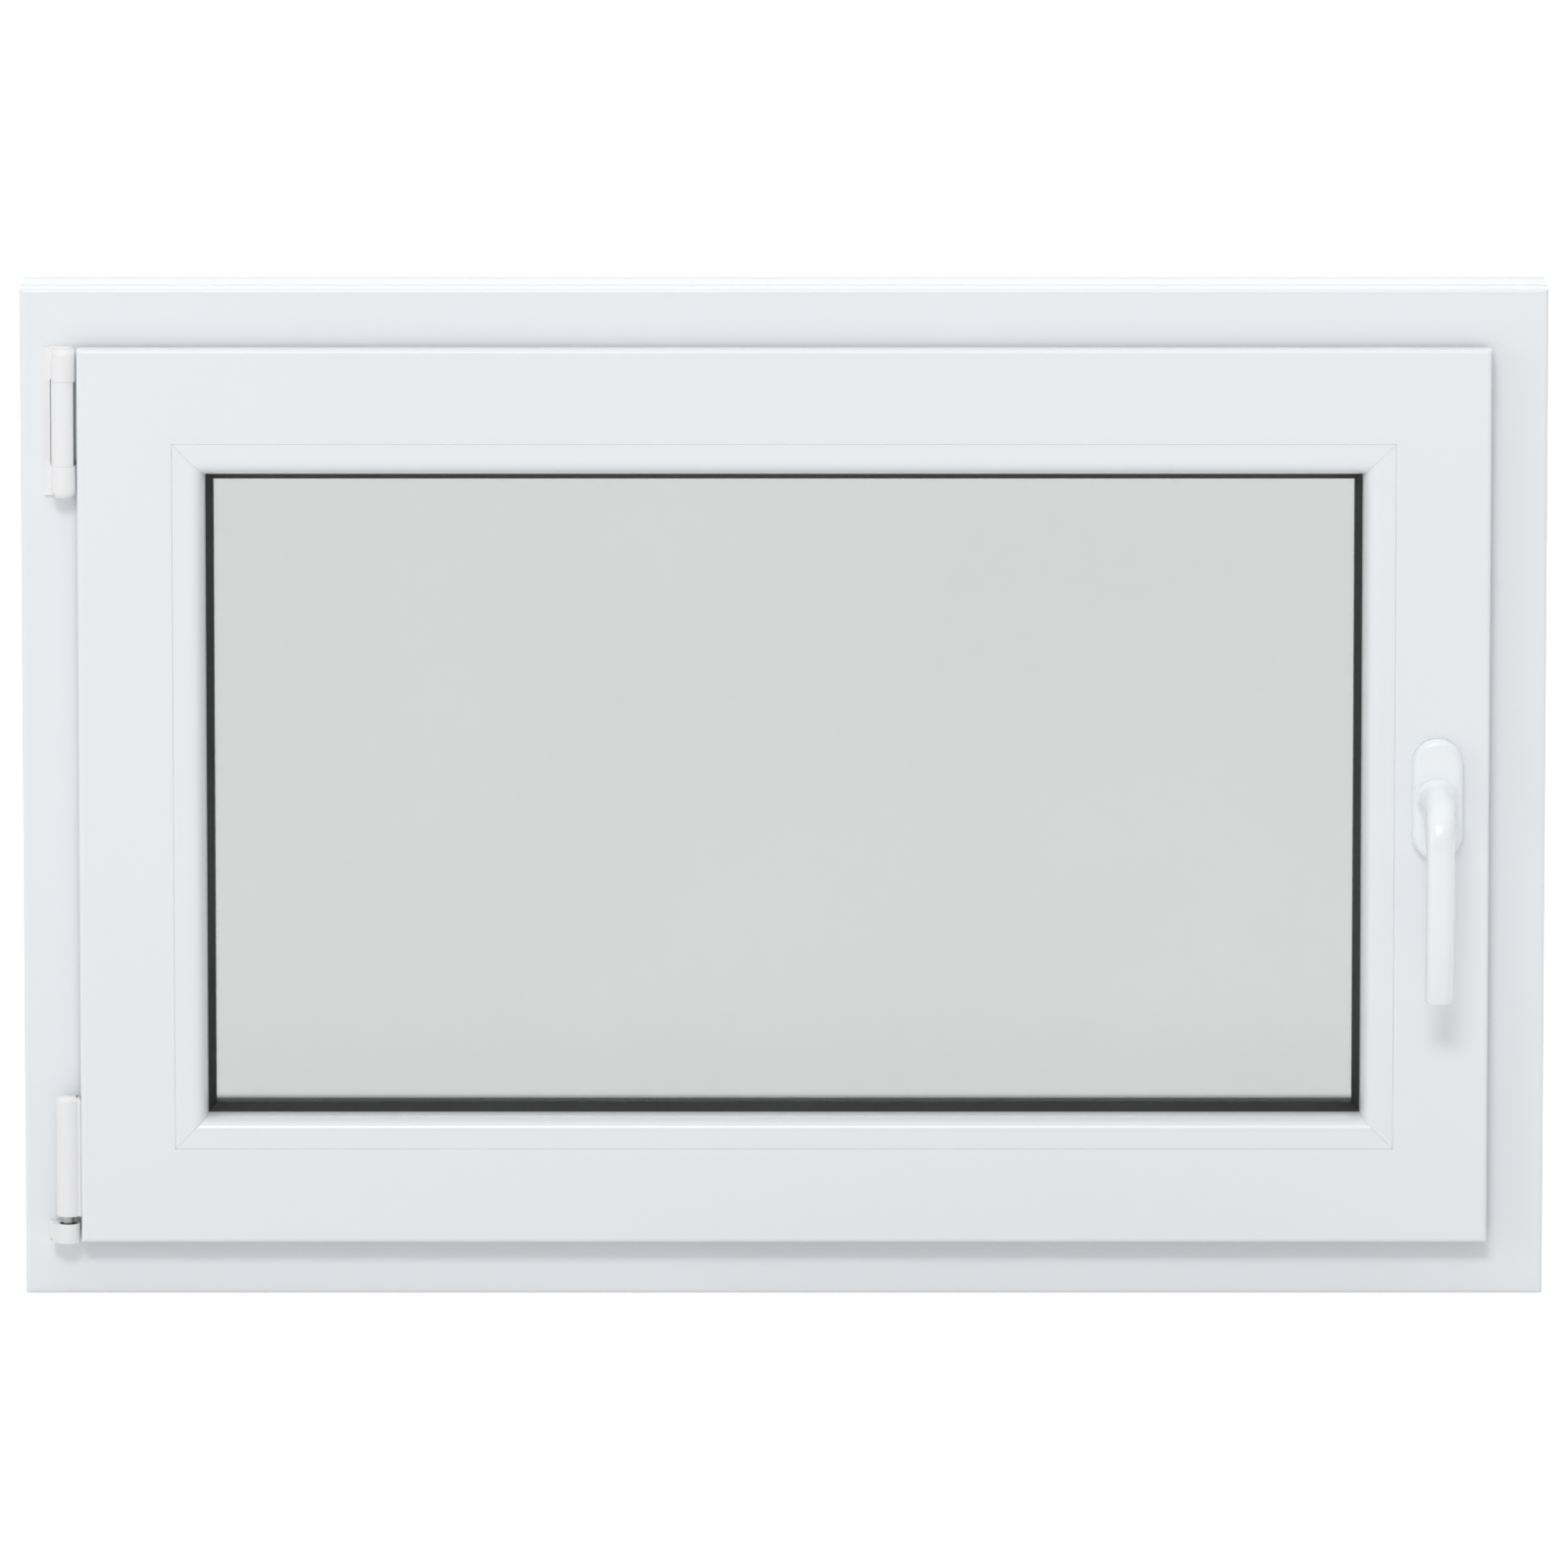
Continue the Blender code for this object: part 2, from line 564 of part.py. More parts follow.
def build_handle(sash_axis, handle_axis):
    """Rosette, base, screws, grip, spindle and pinion."""
    x = WIDTH / 2.0 - HANDLE_U
    base = facing_piece("handle_base", [stadium((x, HANDLE_Z), 11.5, 32.5)], -24.3, FLANGE_FRONT - GAP, ZINC, sash_axis)
    front = -30.0
    rosette = facing_piece("handle_rosette", [stadium((x, HANDLE_Z), 15.0, 36.0)], front, FLANGE_FRONT - GAP,
                           HANDLE_WHITE, sash_axis)
    hollow = facing_piece("rosette_hollow", [stadium((x, HANDLE_Z), 12.8, 33.8)], front + 2.2, -10.0, ZINC)
    combine(rosette, as_tool(hollow))

    def through(from_v, to_v, z=HANDLE_Z):
        return (place("lock", HANDLE_U, from_v, z), place("lock", HANDLE_U, to_v, z))

    cut_round(rosette, through(-40.0, -10.0), 11.4)
    cut_round(base, through(-30.0, -10.0), 6.0)
    for name, z in (("handle_screw_upper", HANDLE_Z + 21.5), ("handle_screw_lower", HANDLE_Z - 21.5)):
        cut_round(base, through(-30.0, -10.0, z), 2.8)
        round_bar(name, through(-26.4, 2.4, z), 2.4, ZINC, sash_axis, 12)
    grip = round_bar("handle_grip", through(-64.0, -24.6), 11.0, HANDLE_WHITE, handle_axis, 24)
    lever = lever_piece(x)
    combine(grip, as_tool(lever), "UNION")
    socket = facing_piece("grip_socket", [rectangle(x - 3.8, x + 3.8, HANDLE_Z - 3.8, HANDLE_Z + 3.8)], -44.3, -20.0, ZINC)
    combine(grip, as_tool(socket))
    square = rectangle(x - 3.5, x + 3.5, HANDLE_Z - 3.5, HANDLE_Z + 3.5)
    facing_piece("handle_spindle", [square], -44.0, 12.0, ZINC, handle_axis)
    teeth = [(x + px, HANDLE_Z + pz) for px, pz in gear_outline()]
    hole = rectangle(x - 3.8, x + 3.8, HANDLE_Z - 3.8, HANDLE_Z + 3.8)
    facing_piece("gear_pinion", [teeth, hole], 6.0, 12.0, ZINC, handle_axis)


def lever_piece(x):
    """Bowed grip: its side view, a front bow and a back bow, extruded across its width."""
    half_width = 8.2
    top_z = HANDLE_Z + 10.5
    tip_z = HANDLE_Z - 115.0
    steps = 10
    front = []
    back = []
    for step in range(steps + 1):
        part = step / steps
        z = top_z + (tip_z + 2.0 - top_z) * part
        front.append((-66.0 - 15.0 * math.sin(math.pi * (0.12 + 0.80 * part)), z))
        back.append((-58.0 - 9.5 * math.sin(math.pi * (0.05 + 0.85 * part)), z))
    outline = front + [(front[-1][0] + 3.0, tip_z), (back[-1][0] - 3.0, tip_z)] + back[::-1]
    mesh = extruded_mesh("lever", [outline], half_width)
    for vertex in mesh.vertices:
        v, z, across = vertex.co
        vertex.co = ((x + across) * MM, (v - DEPTH / 2.0) * MM, z * MM)
    work = bmesh.new()
    work.from_mesh(mesh)
    bpy.data.meshes.remove(mesh)
    return add_piece("lever", work, HANDLE_WHITE)


def build_lock_gear(bars, sash_axis, rods):
    """Gearbox, faceplates, driven rods and cams, with the pockets milled for them in the lock stile."""
    x = WIDTH / 2.0 - HANDLE_U
    stile = bars["lock"]
    cut_block(stile, "lock", (50.0, 76.0), DEEP_V, (HANDLE_Z - 34.0, HANDLE_Z + 34.0))
    cut_round(stile, (place("lock", HANDLE_U, -30.0, HANDLE_Z), place("lock", HANDLE_U, 6.0, HANDLE_Z)), 6.0)
    for z in (HANDLE_Z - 21.5, HANDLE_Z + 21.5):
        cut_round(stile, (place("lock", HANDLE_U, -30.0, z), place("lock", HANDLE_U, 6.0, z)), 2.8)
    gearbox = side_block("gearbox", "lock", (58.8, 75.7), (3.3, 14.7), (HANDLE_Z - 33.0, HANDLE_Z + 33.0), ZINC,
                         sash_axis)
    cut_round(gearbox, (place("lock", HANDLE_U, 5.6, HANDLE_Z), place("lock", HANDLE_U, 12.4, HANDLE_Z)), 8.6)
    cut_block(gearbox, "lock", (50.0, 62.5), (5.6, 12.4), (HANDLE_Z - 12.0, HANDLE_Z + 12.0))
    cut_round(gearbox, (place("lock", HANDLE_U, 0.0, HANDLE_Z), place("lock", HANDLE_U, 8.0, HANDLE_Z)), 5.4)
    cams = {"lock": (450.0 + ROD_TRAVEL / 2.0, 130.0 + ROD_TRAVEL / 2.0), "head": (330.0 - ROD_TRAVEL / 2.0,),
            "sill": (330.0 + ROD_TRAVEL / 2.0,)}
    plates = {"lock": ("lock_faceplate", (92.0, 508.0)), "head": ("top_faceplate", (-100.0, 380.0)),
              "sill": ("bottom_faceplate", (-100.0, 380.0))}
    for side, (name, ends) in plates.items():
        plate = side_block(name, side, (52.4, 54.7), (1.3, 16.7), ends, ZINC, sash_axis)
        for middle in cams[side]:
            away = ROD_TRAVEL if side == "head" else -ROD_TRAVEL
            reach = sorted((middle, middle + away))
            cut_block(plate, side, (51.0, 56.0), (6.0, 12.0), (reach[0] - 3.6, reach[1] + 3.6))
    pitch_line = x + PITCH_RADIUS
    bar = rack_outline(110.0, 486.0, WIDTH / 2.0 - 55.0 - GAP, pitch_line)
    facing_piece("drive_rod", [bar], 6.3, 11.7, ZINC, rods["lock"])
    side_block("top_rod", "head", (55.3, 57.5), (5.0, 13.0), (0.0, 355.0), ZINC, rods["head"])
    side_block("bottom_rod", "sill", (55.3, 57.5), (5.0, 13.0), (0.0, 355.0), ZINC, rods["sill"])
    names = {"lock": ("lock_cam_upper", "lock_cam_lower"), "head": ("top_cam",), "sill": ("bottom_cam",)}
    for side in names:
        for name, middle in zip(names[side], cams[side]):
            cam_piece(name, side, middle, rods[side])


def cam_piece(name, side, middle, parent):
    """Round locking cam on a thinner stem."""
    head = round_bar(name, (place(side, 45.0, GROOVE_V, middle), place(side, 51.8, GROOVE_V, middle)), 4.5, ZINC, parent)
    stem = (place(side, 50.0, GROOVE_V, middle), place(side, 55.0, GROOVE_V, middle))
    combine(head, as_tool(round_bar(name + "_stem", stem, 2.4, ZINC)), "UNION")


def build_window():
    """Build every piece, from the frame to the handle."""
    turn_axis = add_axis("sash_turn_axis", axis_point(BALL_Z))
    tilt_axis = add_axis("sash_tilt_axis", axis_point(BALL_Z), turn_axis)
    stay_axis = add_axis("stay_swing_axis", axis_point(521.5), turn_axis)
    handle_axis = add_axis("handle_turn_axis", place("lock", HANDLE_U, FLANGE_FRONT, HANDLE_Z), tilt_axis)
    rods = {}
    for side, along in (("lock", HANDLE_Z), ("head", 180.0), ("sill", 180.0)):
        rods[side] = add_axis(side + "_rod_axis", place(side, 56.0, GROOVE_V, along), tilt_axis)
    build_frame()
    build_keeps()
    bars = build_sash(tilt_axis)
    build_glazing(tilt_axis)
    build_upper_hinge(stay_axis)
    build_lower_hinge(turn_axis, tilt_axis)
    build_handle(tilt_axis, handle_axis)
    build_lock_gear(bars, tilt_axis, rods)


clear_scene()
WINDOW = new_collection("tilt_and_turn_window")
TOOLS = new_collection("cutters")
build_window()
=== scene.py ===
"""Looks of a white tilt-and-turn casement window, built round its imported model.

Sections are drawn in millimetres as (u, v): u runs inward from the frame's outer edge and
v runs back from the frame's room face. World axes are +X right seen from the room, +Y to
the weather side and +Z up, in metres.
"""

from __future__ import annotations

import json
import logging
import math
from dataclasses import dataclass, field
from enum import Enum

import bmesh
import bpy
import numpy as np
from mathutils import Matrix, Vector


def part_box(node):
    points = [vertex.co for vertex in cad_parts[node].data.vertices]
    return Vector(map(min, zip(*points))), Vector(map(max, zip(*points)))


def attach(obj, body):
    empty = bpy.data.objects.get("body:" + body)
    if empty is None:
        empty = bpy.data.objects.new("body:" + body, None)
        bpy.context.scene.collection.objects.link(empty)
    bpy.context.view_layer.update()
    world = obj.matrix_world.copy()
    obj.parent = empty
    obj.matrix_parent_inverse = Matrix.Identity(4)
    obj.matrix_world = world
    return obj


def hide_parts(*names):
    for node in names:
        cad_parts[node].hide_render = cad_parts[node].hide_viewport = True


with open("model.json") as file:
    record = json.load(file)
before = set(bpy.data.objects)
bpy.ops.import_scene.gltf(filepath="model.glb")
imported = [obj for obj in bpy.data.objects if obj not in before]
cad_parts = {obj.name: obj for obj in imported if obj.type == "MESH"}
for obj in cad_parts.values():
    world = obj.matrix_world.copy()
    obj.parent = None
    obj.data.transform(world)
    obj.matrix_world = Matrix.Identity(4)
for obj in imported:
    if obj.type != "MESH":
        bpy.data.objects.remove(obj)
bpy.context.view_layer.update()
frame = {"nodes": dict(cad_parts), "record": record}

MM = 0.001
# How many times longer than wide the marks are, along a drawn and along a rolled surface.
DIE_LINE_STRETCH = 250.0
ROLLING_STRETCH = 40.0
# The mitred members stop this far short of the window's true corner, in metres.
CORNER_GAP = 0.0002
LOG = logging.getLogger("window")


def linear(code: str) -> tuple[float, float, float, float]:
    """Turn an sRGB hex code into linear red, green, blue and alpha.

    Args:
        code: Six hex digits after a hash sign.

    Returns:
        The linear colour, with alpha 1.
    """
    parts = [int(code[start:start + 2], 16) / 255.0 for start in (1, 3, 5)]
    low = [part / 12.92 if part <= 0.04045 else ((part + 0.055) / 1.055) ** 2.4 for part in parts]
    return (low[0], low[1], low[2], 1.0)


# ---------------------------------------------------------------- finishes


def add_node(
    tree: bpy.types.NodeTree,
    kind: str,
    inputs: dict[str | int, object] | None = None,
    **settings: object,
) -> bpy.types.Node:
    """Add one shader node with its settings, values and links.

    Args:
        tree: Node tree that takes the node.
        kind: Blender's name for the node type.
        inputs: Socket name or number to a value, or to an output socket to link from.
        settings: The node's own properties.

    Returns:
        The new node.
    """
    node = tree.nodes.new(kind)
    for key, value in settings.items():
        setattr(node, key, value)
    for socket, value in (inputs or {}).items():
        if isinstance(value, bpy.types.NodeSocket):
            tree.links.new(value, node.inputs[socket])
        else:
            node.inputs[socket].default_value = value
    return node


class Process(Enum):
    """How a surface was made, which sets the direction and the kind of its marks."""

    EXTRUDED = "drawn through a die, with faint lines along the member"
    MOULDED = "injection moulded, with a fine even grain"
    COATED = "powder coated, with a soft orange peel"
    BRUSHED = "rolled and zinc plated, with streaks one way"
    FLOATED = "float glass, optically flat"


@dataclass(frozen=True)
class Finish:
    """One real material and its surface.

    Attributes:
        name: Common name of the material and its process.
        slot: Material slot of the record that it belongs to.
        light: Hex colour of the surface.
        dark: Hex colour that it varies to.
        process: How the surface was made.
        roughness: Lowest and highest roughness.
        ior: Index of refraction, not used by a metal.
        metallic: 1 for a metal.
        grain_mm: Real size of the fine marks.
        relief_mm: Height of the fine marks.
        coat: Weight of a clear gloss layer.
        transmission: Share of light that passes.
    """

    name: str
    slot: str
    light: str
    dark: str
    process: Process
    roughness: tuple[float, float]
    ior: float = 1.5
    metallic: float = 0.0
    grain_mm: float = 1.0
    relief_mm: float = 0.01
    coat: float = 0.0
    transmission: float = 0.0

    def coordinates(self, tree: bpy.types.NodeTree) -> bpy.types.NodeSocket:
        """Position on the surface in grains, stretched along the lines the process leaves.

        Args:
            tree: Node tree of the material.

        Returns:
            The socket that carries the position.
        """
        grains = 1.0 / (self.grain_mm * MM)
        if self.process is Process.EXTRUDED:
            place = add_node(tree, "ShaderNodeUVMap", uv_map="profile").outputs["UV"]
            stretch = (grains, grains / DIE_LINE_STRETCH, 1.0)
        elif self.process is Process.BRUSHED:
            place = add_node(tree, "ShaderNodeTexCoord").outputs["Object"]
            stretch = (grains, grains, grains / ROLLING_STRETCH)
        else:
            place = add_node(tree, "ShaderNodeTexCoord").outputs["Object"]
            stretch = (grains, grains, grains)
        return add_node(tree, "ShaderNodeMapping", {"Vector": place, "Scale": stretch}).outputs["Vector"]

    def build(self) -> bpy.types.Material:
        """Make the material, once.

        Returns:
            The material.
        """
        known = bpy.data.materials.get(self.name)
        if known is not None:
            return known
        material = bpy.data.materials.new(self.name)
        material.use_nodes = True
        tree = material.node_tree
        shader = tree.nodes["Principled BSDF"]
        shader.inputs["Metallic"].default_value = self.metallic
        shader.inputs["Coat Weight"].default_value = self.coat
        shader.inputs["Coat Roughness"].default_value = 0.12
        shader.inputs["Transmission Weight"].default_value = self.transmission
        if self.metallic < 0.5:
            shader.inputs["IOR"].default_value = self.ior
        fine = add_node(
            tree, "ShaderNodeTexNoise",
            {"Vector": self.coordinates(tree), "Scale": 1.0, "Detail": 3.0, "Roughness": 0.55},
        ).outputs["Fac"]
        world = add_node(tree, "ShaderNodeTexCoord").outputs["Object"]
        # Slow drift of colour over a hand's breadth, as on any large moulded or drawn surface.
        broad = add_node(
            tree, "ShaderNodeTexNoise", {"Vector": world, "Scale": 6.0, "Detail": 2.0, "Roughness": 0.5},
        ).outputs["Fac"]
        drift = add_node(
            tree, "ShaderNodeMapRange",
            {"Value": broad, "From Min": 0.35, "From Max": 0.65, "To Min": 0.0, "To Max": 1.0},
        ).outputs["Result"]
        # A colour Mix node keeps its colour sockets at 6, 7 and 2, behind those of its other types.
        colour = add_node(
            tree, "ShaderNodeMix", {0: drift, 6: linear(self.light), 7: linear(self.dark)}, data_type="RGBA",
        )
        tree.links.new(colour.outputs[2], shader.inputs["Base Color"])
        low, high = self.roughness
        spread = add_node(
            tree, "ShaderNodeMapRange",
            {"Value": fine, "From Min": 0.3, "From Max": 0.7, "To Min": low, "To Max": high},
        ).outputs["Result"]
        tree.links.new(spread, shader.inputs["Roughness"])
        if self.relief_mm > 0.0:
            bump = add_node(
                tree, "ShaderNodeBump",
                {"Height": fine, "Strength": 0.6, "Distance": self.relief_mm * MM},
            ).outputs["Normal"]
            tree.links.new(bump, shader.inputs["Normal"])
        return material


# Extruded uPVC: bluish white, satin from the die, with lines too faint to count.
UPVC = Finish("extruded_upvc", "white_upvc", "#EFF2F5", "#EEF1F4", Process.EXTRUDED, (0.28, 0.3), 1.53,
              grain_mm=1.2, relief_mm=0.001)
# Injection-moulded ABS covers: a warmer white and a finer, more even surface than the profiles.
COVER = Finish("moulded_abs", "white_cover", "#F2F2F3", "#EFEFF0", Process.MOULDED, (0.29, 0.35), 1.54,
               grain_mm=0.8, relief_mm=0.003)
# Powder-coated zinc casting: the glossiest white, with a slight orange peel.
ENAMEL = Finish("powder_coated_zinc_casting", "handle_enamel", "#F4F8FB", "#F2F6F9", Process.COATED,
                (0.20, 0.27), 1.5, grain_mm=2.5, relief_mm=0.006, coat=0.25)
# Extruded EPDM rubber: near black, soft sheen, dusty grain.
RUBBER = Finish("extruded_epdm_rubber", "black_seal", "#2C2D2D", "#1E1E1E", Process.MOULDED,
                (0.42, 0.6), 1.52, grain_mm=0.5, relief_mm=0.02)
# Float glass: flat and clear, with the grey-green of its iron over two panes.
GLASS = Finish("float_glass", "clear_glass", "#DBDCDC", "#DADBDB", Process.FLOATED, (0.0, 0.01), 1.5,
               relief_mm=0.0, transmission=1.0)
# Zinc-plated steel: grey metal with rolling streaks.
ZINC = Finish("zinc_plated_steel", "zinc_steel", "#C4C5C1", "#A9ABA8", Process.BRUSHED, (0.25, 0.42),
              metallic=1.0, grain_mm=0.6, relief_mm=0.01)
# Mill-finish aluminium spacer: bright, with rolling streaks.
ALUMINIUM = Finish("mill_finish_aluminium", "spacer_aluminium", "#D9DADB", "#CACBCD", Process.BRUSHED,
                   (0.28, 0.4), metallic=1.0, grain_mm=0.5, relief_mm=0.008)
# Polysulphide edge sealant, trowelled: dull and nearly black.
SEALANT = Finish("polysulphide_sealant", "butyl_seal", "#2A2B2C", "#202122", Process.MOULDED,
                 (0.6, 0.75), 1.5, grain_mm=3.0, relief_mm=0.08)
# Moulded polyamide setting blocks.
POLYAMIDE = Finish("moulded_polyamide", "block_plastic", "#2F7A52", "#2A6E4A", Process.MOULDED,
                   (0.4, 0.5), 1.53, grain_mm=0.8, relief_mm=0.01)
ALL_FINISHES = (UPVC, COVER, ENAMEL, RUBBER, GLASS, ZINC, ALUMINIUM, SEALANT, POLYAMIDE)


# ---------------------------------------------------------------- surfaces


class Side(Enum):
    """The four sides of a rectangular window, going round anticlockwise seen from the room."""

    SILL = 0
    LOCK = 1
    HEAD = 2
    HINGE = 3


@dataclass(frozen=True)
class Opening:
    """Outer size of the window, read from the frame's own nodes."""

    low: np.ndarray
    high: np.ndarray

    def place(self, side: Side, u: np.ndarray, v: np.ndarray, inset: np.ndarray) -> np.ndarray:
        """World points of section points that stand a distance back from a mitre.

        A rail point at inset i stands at the side's end, less u for the mitre and less i;
        inset counts from the start of a side, and a negative inset from its far end.

        Args:
            side: Side of the window.
            u: Distance inward from the outer edge, in millimetres.
            v: Depth behind the room face, in millimetres.
            inset: Distance from the mitre plane along the side, in millimetres.

        Returns:
            Points in metres, with x, y, z on the last axis.
        """
        u, v, inset = np.broadcast_arrays(u * MM, v * MM, inset * MM)
        x0, y0, z0 = self.low
        x1, _, z1 = self.high
        forward = np.where(np.signbit(inset), 1.0, 0.0)
        back = np.abs(inset)
        y = y0 + v
        if side in (Side.SILL, Side.HEAD):
            start, end = x0 + u + back, x1 - u - back
            if side is Side.HEAD:
                start, end = end, start
            x = start + (end - start) * forward
            z = z0 + u if side is Side.SILL else z1 - u
        else:
            start, end = z0 + u + back, z1 - u - back
            if side is Side.HINGE:
                start, end = end, start
            z = start + (end - start) * forward
            x = x1 - u if side is Side.LOCK else x0 + u
        return np.stack(np.broadcast_arrays(x, y, z), axis=-1)


def fillet(corners: list[tuple[float, float, float]], steps: int = 5) -> np.ndarray:
    """Closed outline whose corners are arcs, with a short straight before and after each.

    Each arc runs between its two tangent points: with unit vectors a and b towards the
    neighbours and the angle between them phi, the tangent points stand r / tan(phi / 2)
    from the corner, and the arc is the slerp of the two radii about its centre.

    Args:
        corners: (u, v, radius) of each corner, with a radius above zero.
        steps: Segments in each arc.

    Returns:
        Outline points, shaped (corners * (steps + 3), 2).
    """
    table = np.array(corners, float)
    point, radius = table[:, :2], table[:, 2:3]
    before = np.roll(point, 1, axis=0) - point
    after = np.roll(point, -1, axis=0) - point
    before /= np.linalg.norm(before, axis=1, keepdims=True)
    after /= np.linalg.norm(after, axis=1, keepdims=True)
    phi = np.arccos(np.clip((before * after).sum(axis=1, keepdims=True), -1.0, 1.0))
    reach = radius / np.tan(phi / 2.0)
    middle = (before + after) / np.linalg.norm(before + after, axis=1, keepdims=True)
    centre = point + middle * radius / np.sin(phi / 2.0)
    first = (point + before * reach - centre) / radius
    last = (point + after * reach - centre) / radius
    psi = (math.pi - phi)[:, None, :]
    share = np.linspace(0.0, 1.0, steps + 1)[None, :, None]
    turn = (np.sin((1.0 - share) * psi) * first[:, None] + np.sin(share * psi) * last[:, None]) / np.sin(psi)
    arcs = centre[:, None] + radius[:, None] * turn
    lead = np.minimum(0.35, 0.25 * radius) + 0.05
    head = (point + before * (reach + lead))[:, None]
    tail = (point + after * (reach + lead))[:, None]
    return np.concatenate([head, arcs, tail], axis=1).reshape(-1, 2)


def outward(outline: np.ndarray) -> np.ndarray:
    """Unit outward normal at each point of a closed outline, from the chord of its neighbours.

    Args:
        outline: Points shaped (n, 2).

    Returns:
        Normals shaped (n, 2).
    """
    chord = np.roll(outline, -1, axis=0) - np.roll(outline, 1, axis=0)
    chord /= np.maximum(np.linalg.norm(chord, axis=1, keepdims=True), 1e-9)
    after = np.roll(outline, -1, axis=0)
    area = (outline[:, 0] * after[:, 1] - after[:, 0] * outline[:, 1]).sum()
    return np.stack([chord[:, 1], -chord[:, 0]], axis=1) * math.copysign(1.0, area)


def grid_faces(rows: int, columns: int, close_rows: bool = False, close_columns: bool = True) -> np.ndarray:
    """Quads of a grid of points numbered row by row.

    Args:
        rows: Number of rows.
        columns: Number of columns.
        close_rows: Join the last row to the first.
        close_columns: Join the last column to the first.

    Returns:
        Vertex numbers shaped (faces, 4).
    """
    row = np.arange(rows if close_rows else rows - 1)
    column = np.arange(columns if close_columns else columns - 1)
    r, c = np.meshgrid(row, column, indexing="ij")
    r2, c2 = (r + 1) % rows, (c + 1) % columns
    corners = (r * columns + c, r * columns + c2, r2 * columns + c2, r2 * columns + c)
    return np.stack(corners, axis=-1).reshape(-1, 4)


def tube_faces(rows: int, columns: int) -> list[list[int]]:
    """Quads of an open tube of points, and one face over each of its ends.

    Args:
        rows: Number of rings.
        columns: Number of points in a ring.

    Returns:
        Vertex numbers of each face.
    """
    ends = [list(range(columns)), list(range((rows - 1) * columns, rows * columns))]
    return grid_faces(rows, columns).tolist() + ends


def member_uv(section: np.ndarray, down: np.ndarray) -> np.ndarray:
    """Texture position of each quad's corners: distance round the section and along the member.

    Args:
        section: Outline in millimetres.
        down: Distance along the member at each row, in metres.

    Returns:
        Positions in metres, shaped (quads * 4, 2).
    """
    edge = np.linalg.norm(np.roll(section, -1, axis=0) - section, axis=1) * MM
    across = np.concatenate([[0.0], np.cumsum(edge)])
    r, c = np.meshgrid(np.arange(len(down) - 1), np.arange(len(section)), indexing="ij")
    corner_u = np.stack([across[c], across[c + 1], across[c + 1], across[c]], axis=-1)
    corner_v = np.stack([down[r], down[r], down[r + 1], down[r + 1]], axis=-1)
    return np.stack([corner_u, corner_v], axis=-1).reshape(-1, 2)


def make_piece(
    name: str,
    points: np.ndarray,
    faces: list[list[int]],
    finish: Finish,
    body: str,
    replaces: tuple[str, ...] = (),
    uv: np.ndarray | None = None,
    smooth_deg: float = 35.0,
) -> bpy.types.Object:
    """Make a closed piece from points and faces, and tie it to its body.

    Args:
        name: Name of the piece.
        points: Points in metres, with x, y, z on the last axis.
        faces: Vertex numbers of each face.
        finish: Its material.
        body: Moving body that it rides on.
        replaces: CAD nodes that it stands for.
        uv: Texture position of each face corner in metres, in the order of the faces.
        smooth_deg: Edges sharper than this stay sharp.

    Returns:
        The finished object.
    """
    mesh = bpy.data.meshes.new(name)
    mesh.from_pydata(points.reshape(-1, 3).tolist(), [], faces)
    layer = mesh.uv_layers.new(name="profile")
    if uv is None:
        flat = np.zeros((len(mesh.loops), 2))
        index = np.zeros(len(mesh.loops), int)
        mesh.loops.foreach_get("vertex_index", index)
        flat[:, 0] = points.reshape(-1, 3)[index][:, [0, 2]].sum(axis=1)
        flat[:, 1] = points.reshape(-1, 3)[index][:, 1]
        uv = flat
    layer.data.foreach_set("uv", np.asarray(uv, float).reshape(-1))
    work = bmesh.new()
    work.from_mesh(mesh)
    bmesh.ops.remove_doubles(work, verts=work.verts, dist=1e-6)
    bmesh.ops.recalc_face_normals(work, faces=work.faces)
    work.to_mesh(mesh)
    work.free()
    mesh.shade_smooth()
    mesh.set_sharp_from_angle(angle=math.radians(smooth_deg))
    piece = bpy.data.objects.new(name, mesh)
    bpy.context.scene.collection.objects.link(piece)
    mesh.materials.append(finish.build())
    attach(piece, body)
    if replaces:
        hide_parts(*replaces)
    LOG.info("%s: %d faces on %s", name, len(mesh.polygons), body)
    return piece


@dataclass(frozen=True)
class Weld:
    """Trimmed weld at a mitre: a shallow V-groove."""

    depth_mm: float = 0.07
    half_width_mm: float = 0.35


def swept_ring(
    name: str,
    opening: Opening,
    section: np.ndarray,
    finish: Finish,
    body: str,
    replaces: tuple[str, ...],
    weld: Weld | None = None,
) -> bpy.types.Object:
    """Carry a closed section round the four sides, mitred at the corners.

    Each corner has one station on the mitre plane, where the section is drawn in by the
    weld's depth, and two stations of the full section on each side of it.

    Args:
        name: Name of the piece.
        opening: Outer size of the window.
        section: Outline in (u, v) millimetres.
        finish: Its material.
        body: Moving body that it rides on.
        replaces: CAD nodes that it stands for.
        weld: Weld groove at the mitres, or none for a moulded corner.

    Returns:
        The finished ring.
    """
    weld = weld or Weld(0.0, 0.3)
    sunk = section - outward(section) * weld.depth_mm
    insets = (0.0, weld.half_width_mm, 2.0 * weld.half_width_mm + 0.3)
    rows = []
    travel = []
    walked = 0.0
    span = opening.high - opening.low
    for side in Side:
        length = float(span[0] if side in (Side.SILL, Side.HEAD) else span[2])
        for order, inset in enumerate(insets):
            outline = sunk if order == 0 else section
            rows.append(opening.place(side, outline[:, 0], outline[:, 1], np.array(inset)))
            travel.append(walked + inset * MM)
        for inset in insets[:0:-1]:
            rows.append(opening.place(side, section[:, 0], section[:, 1], np.array(-inset)))
            travel.append(walked + length - inset * MM)
        walked += length
    points = np.array(rows)
    faces = grid_faces(*points.shape[:2], close_rows=True).tolist()
    uv = member_uv(section, np.array(travel + [walked]))
    return make_piece(name, points, faces, finish, body, replaces, uv)


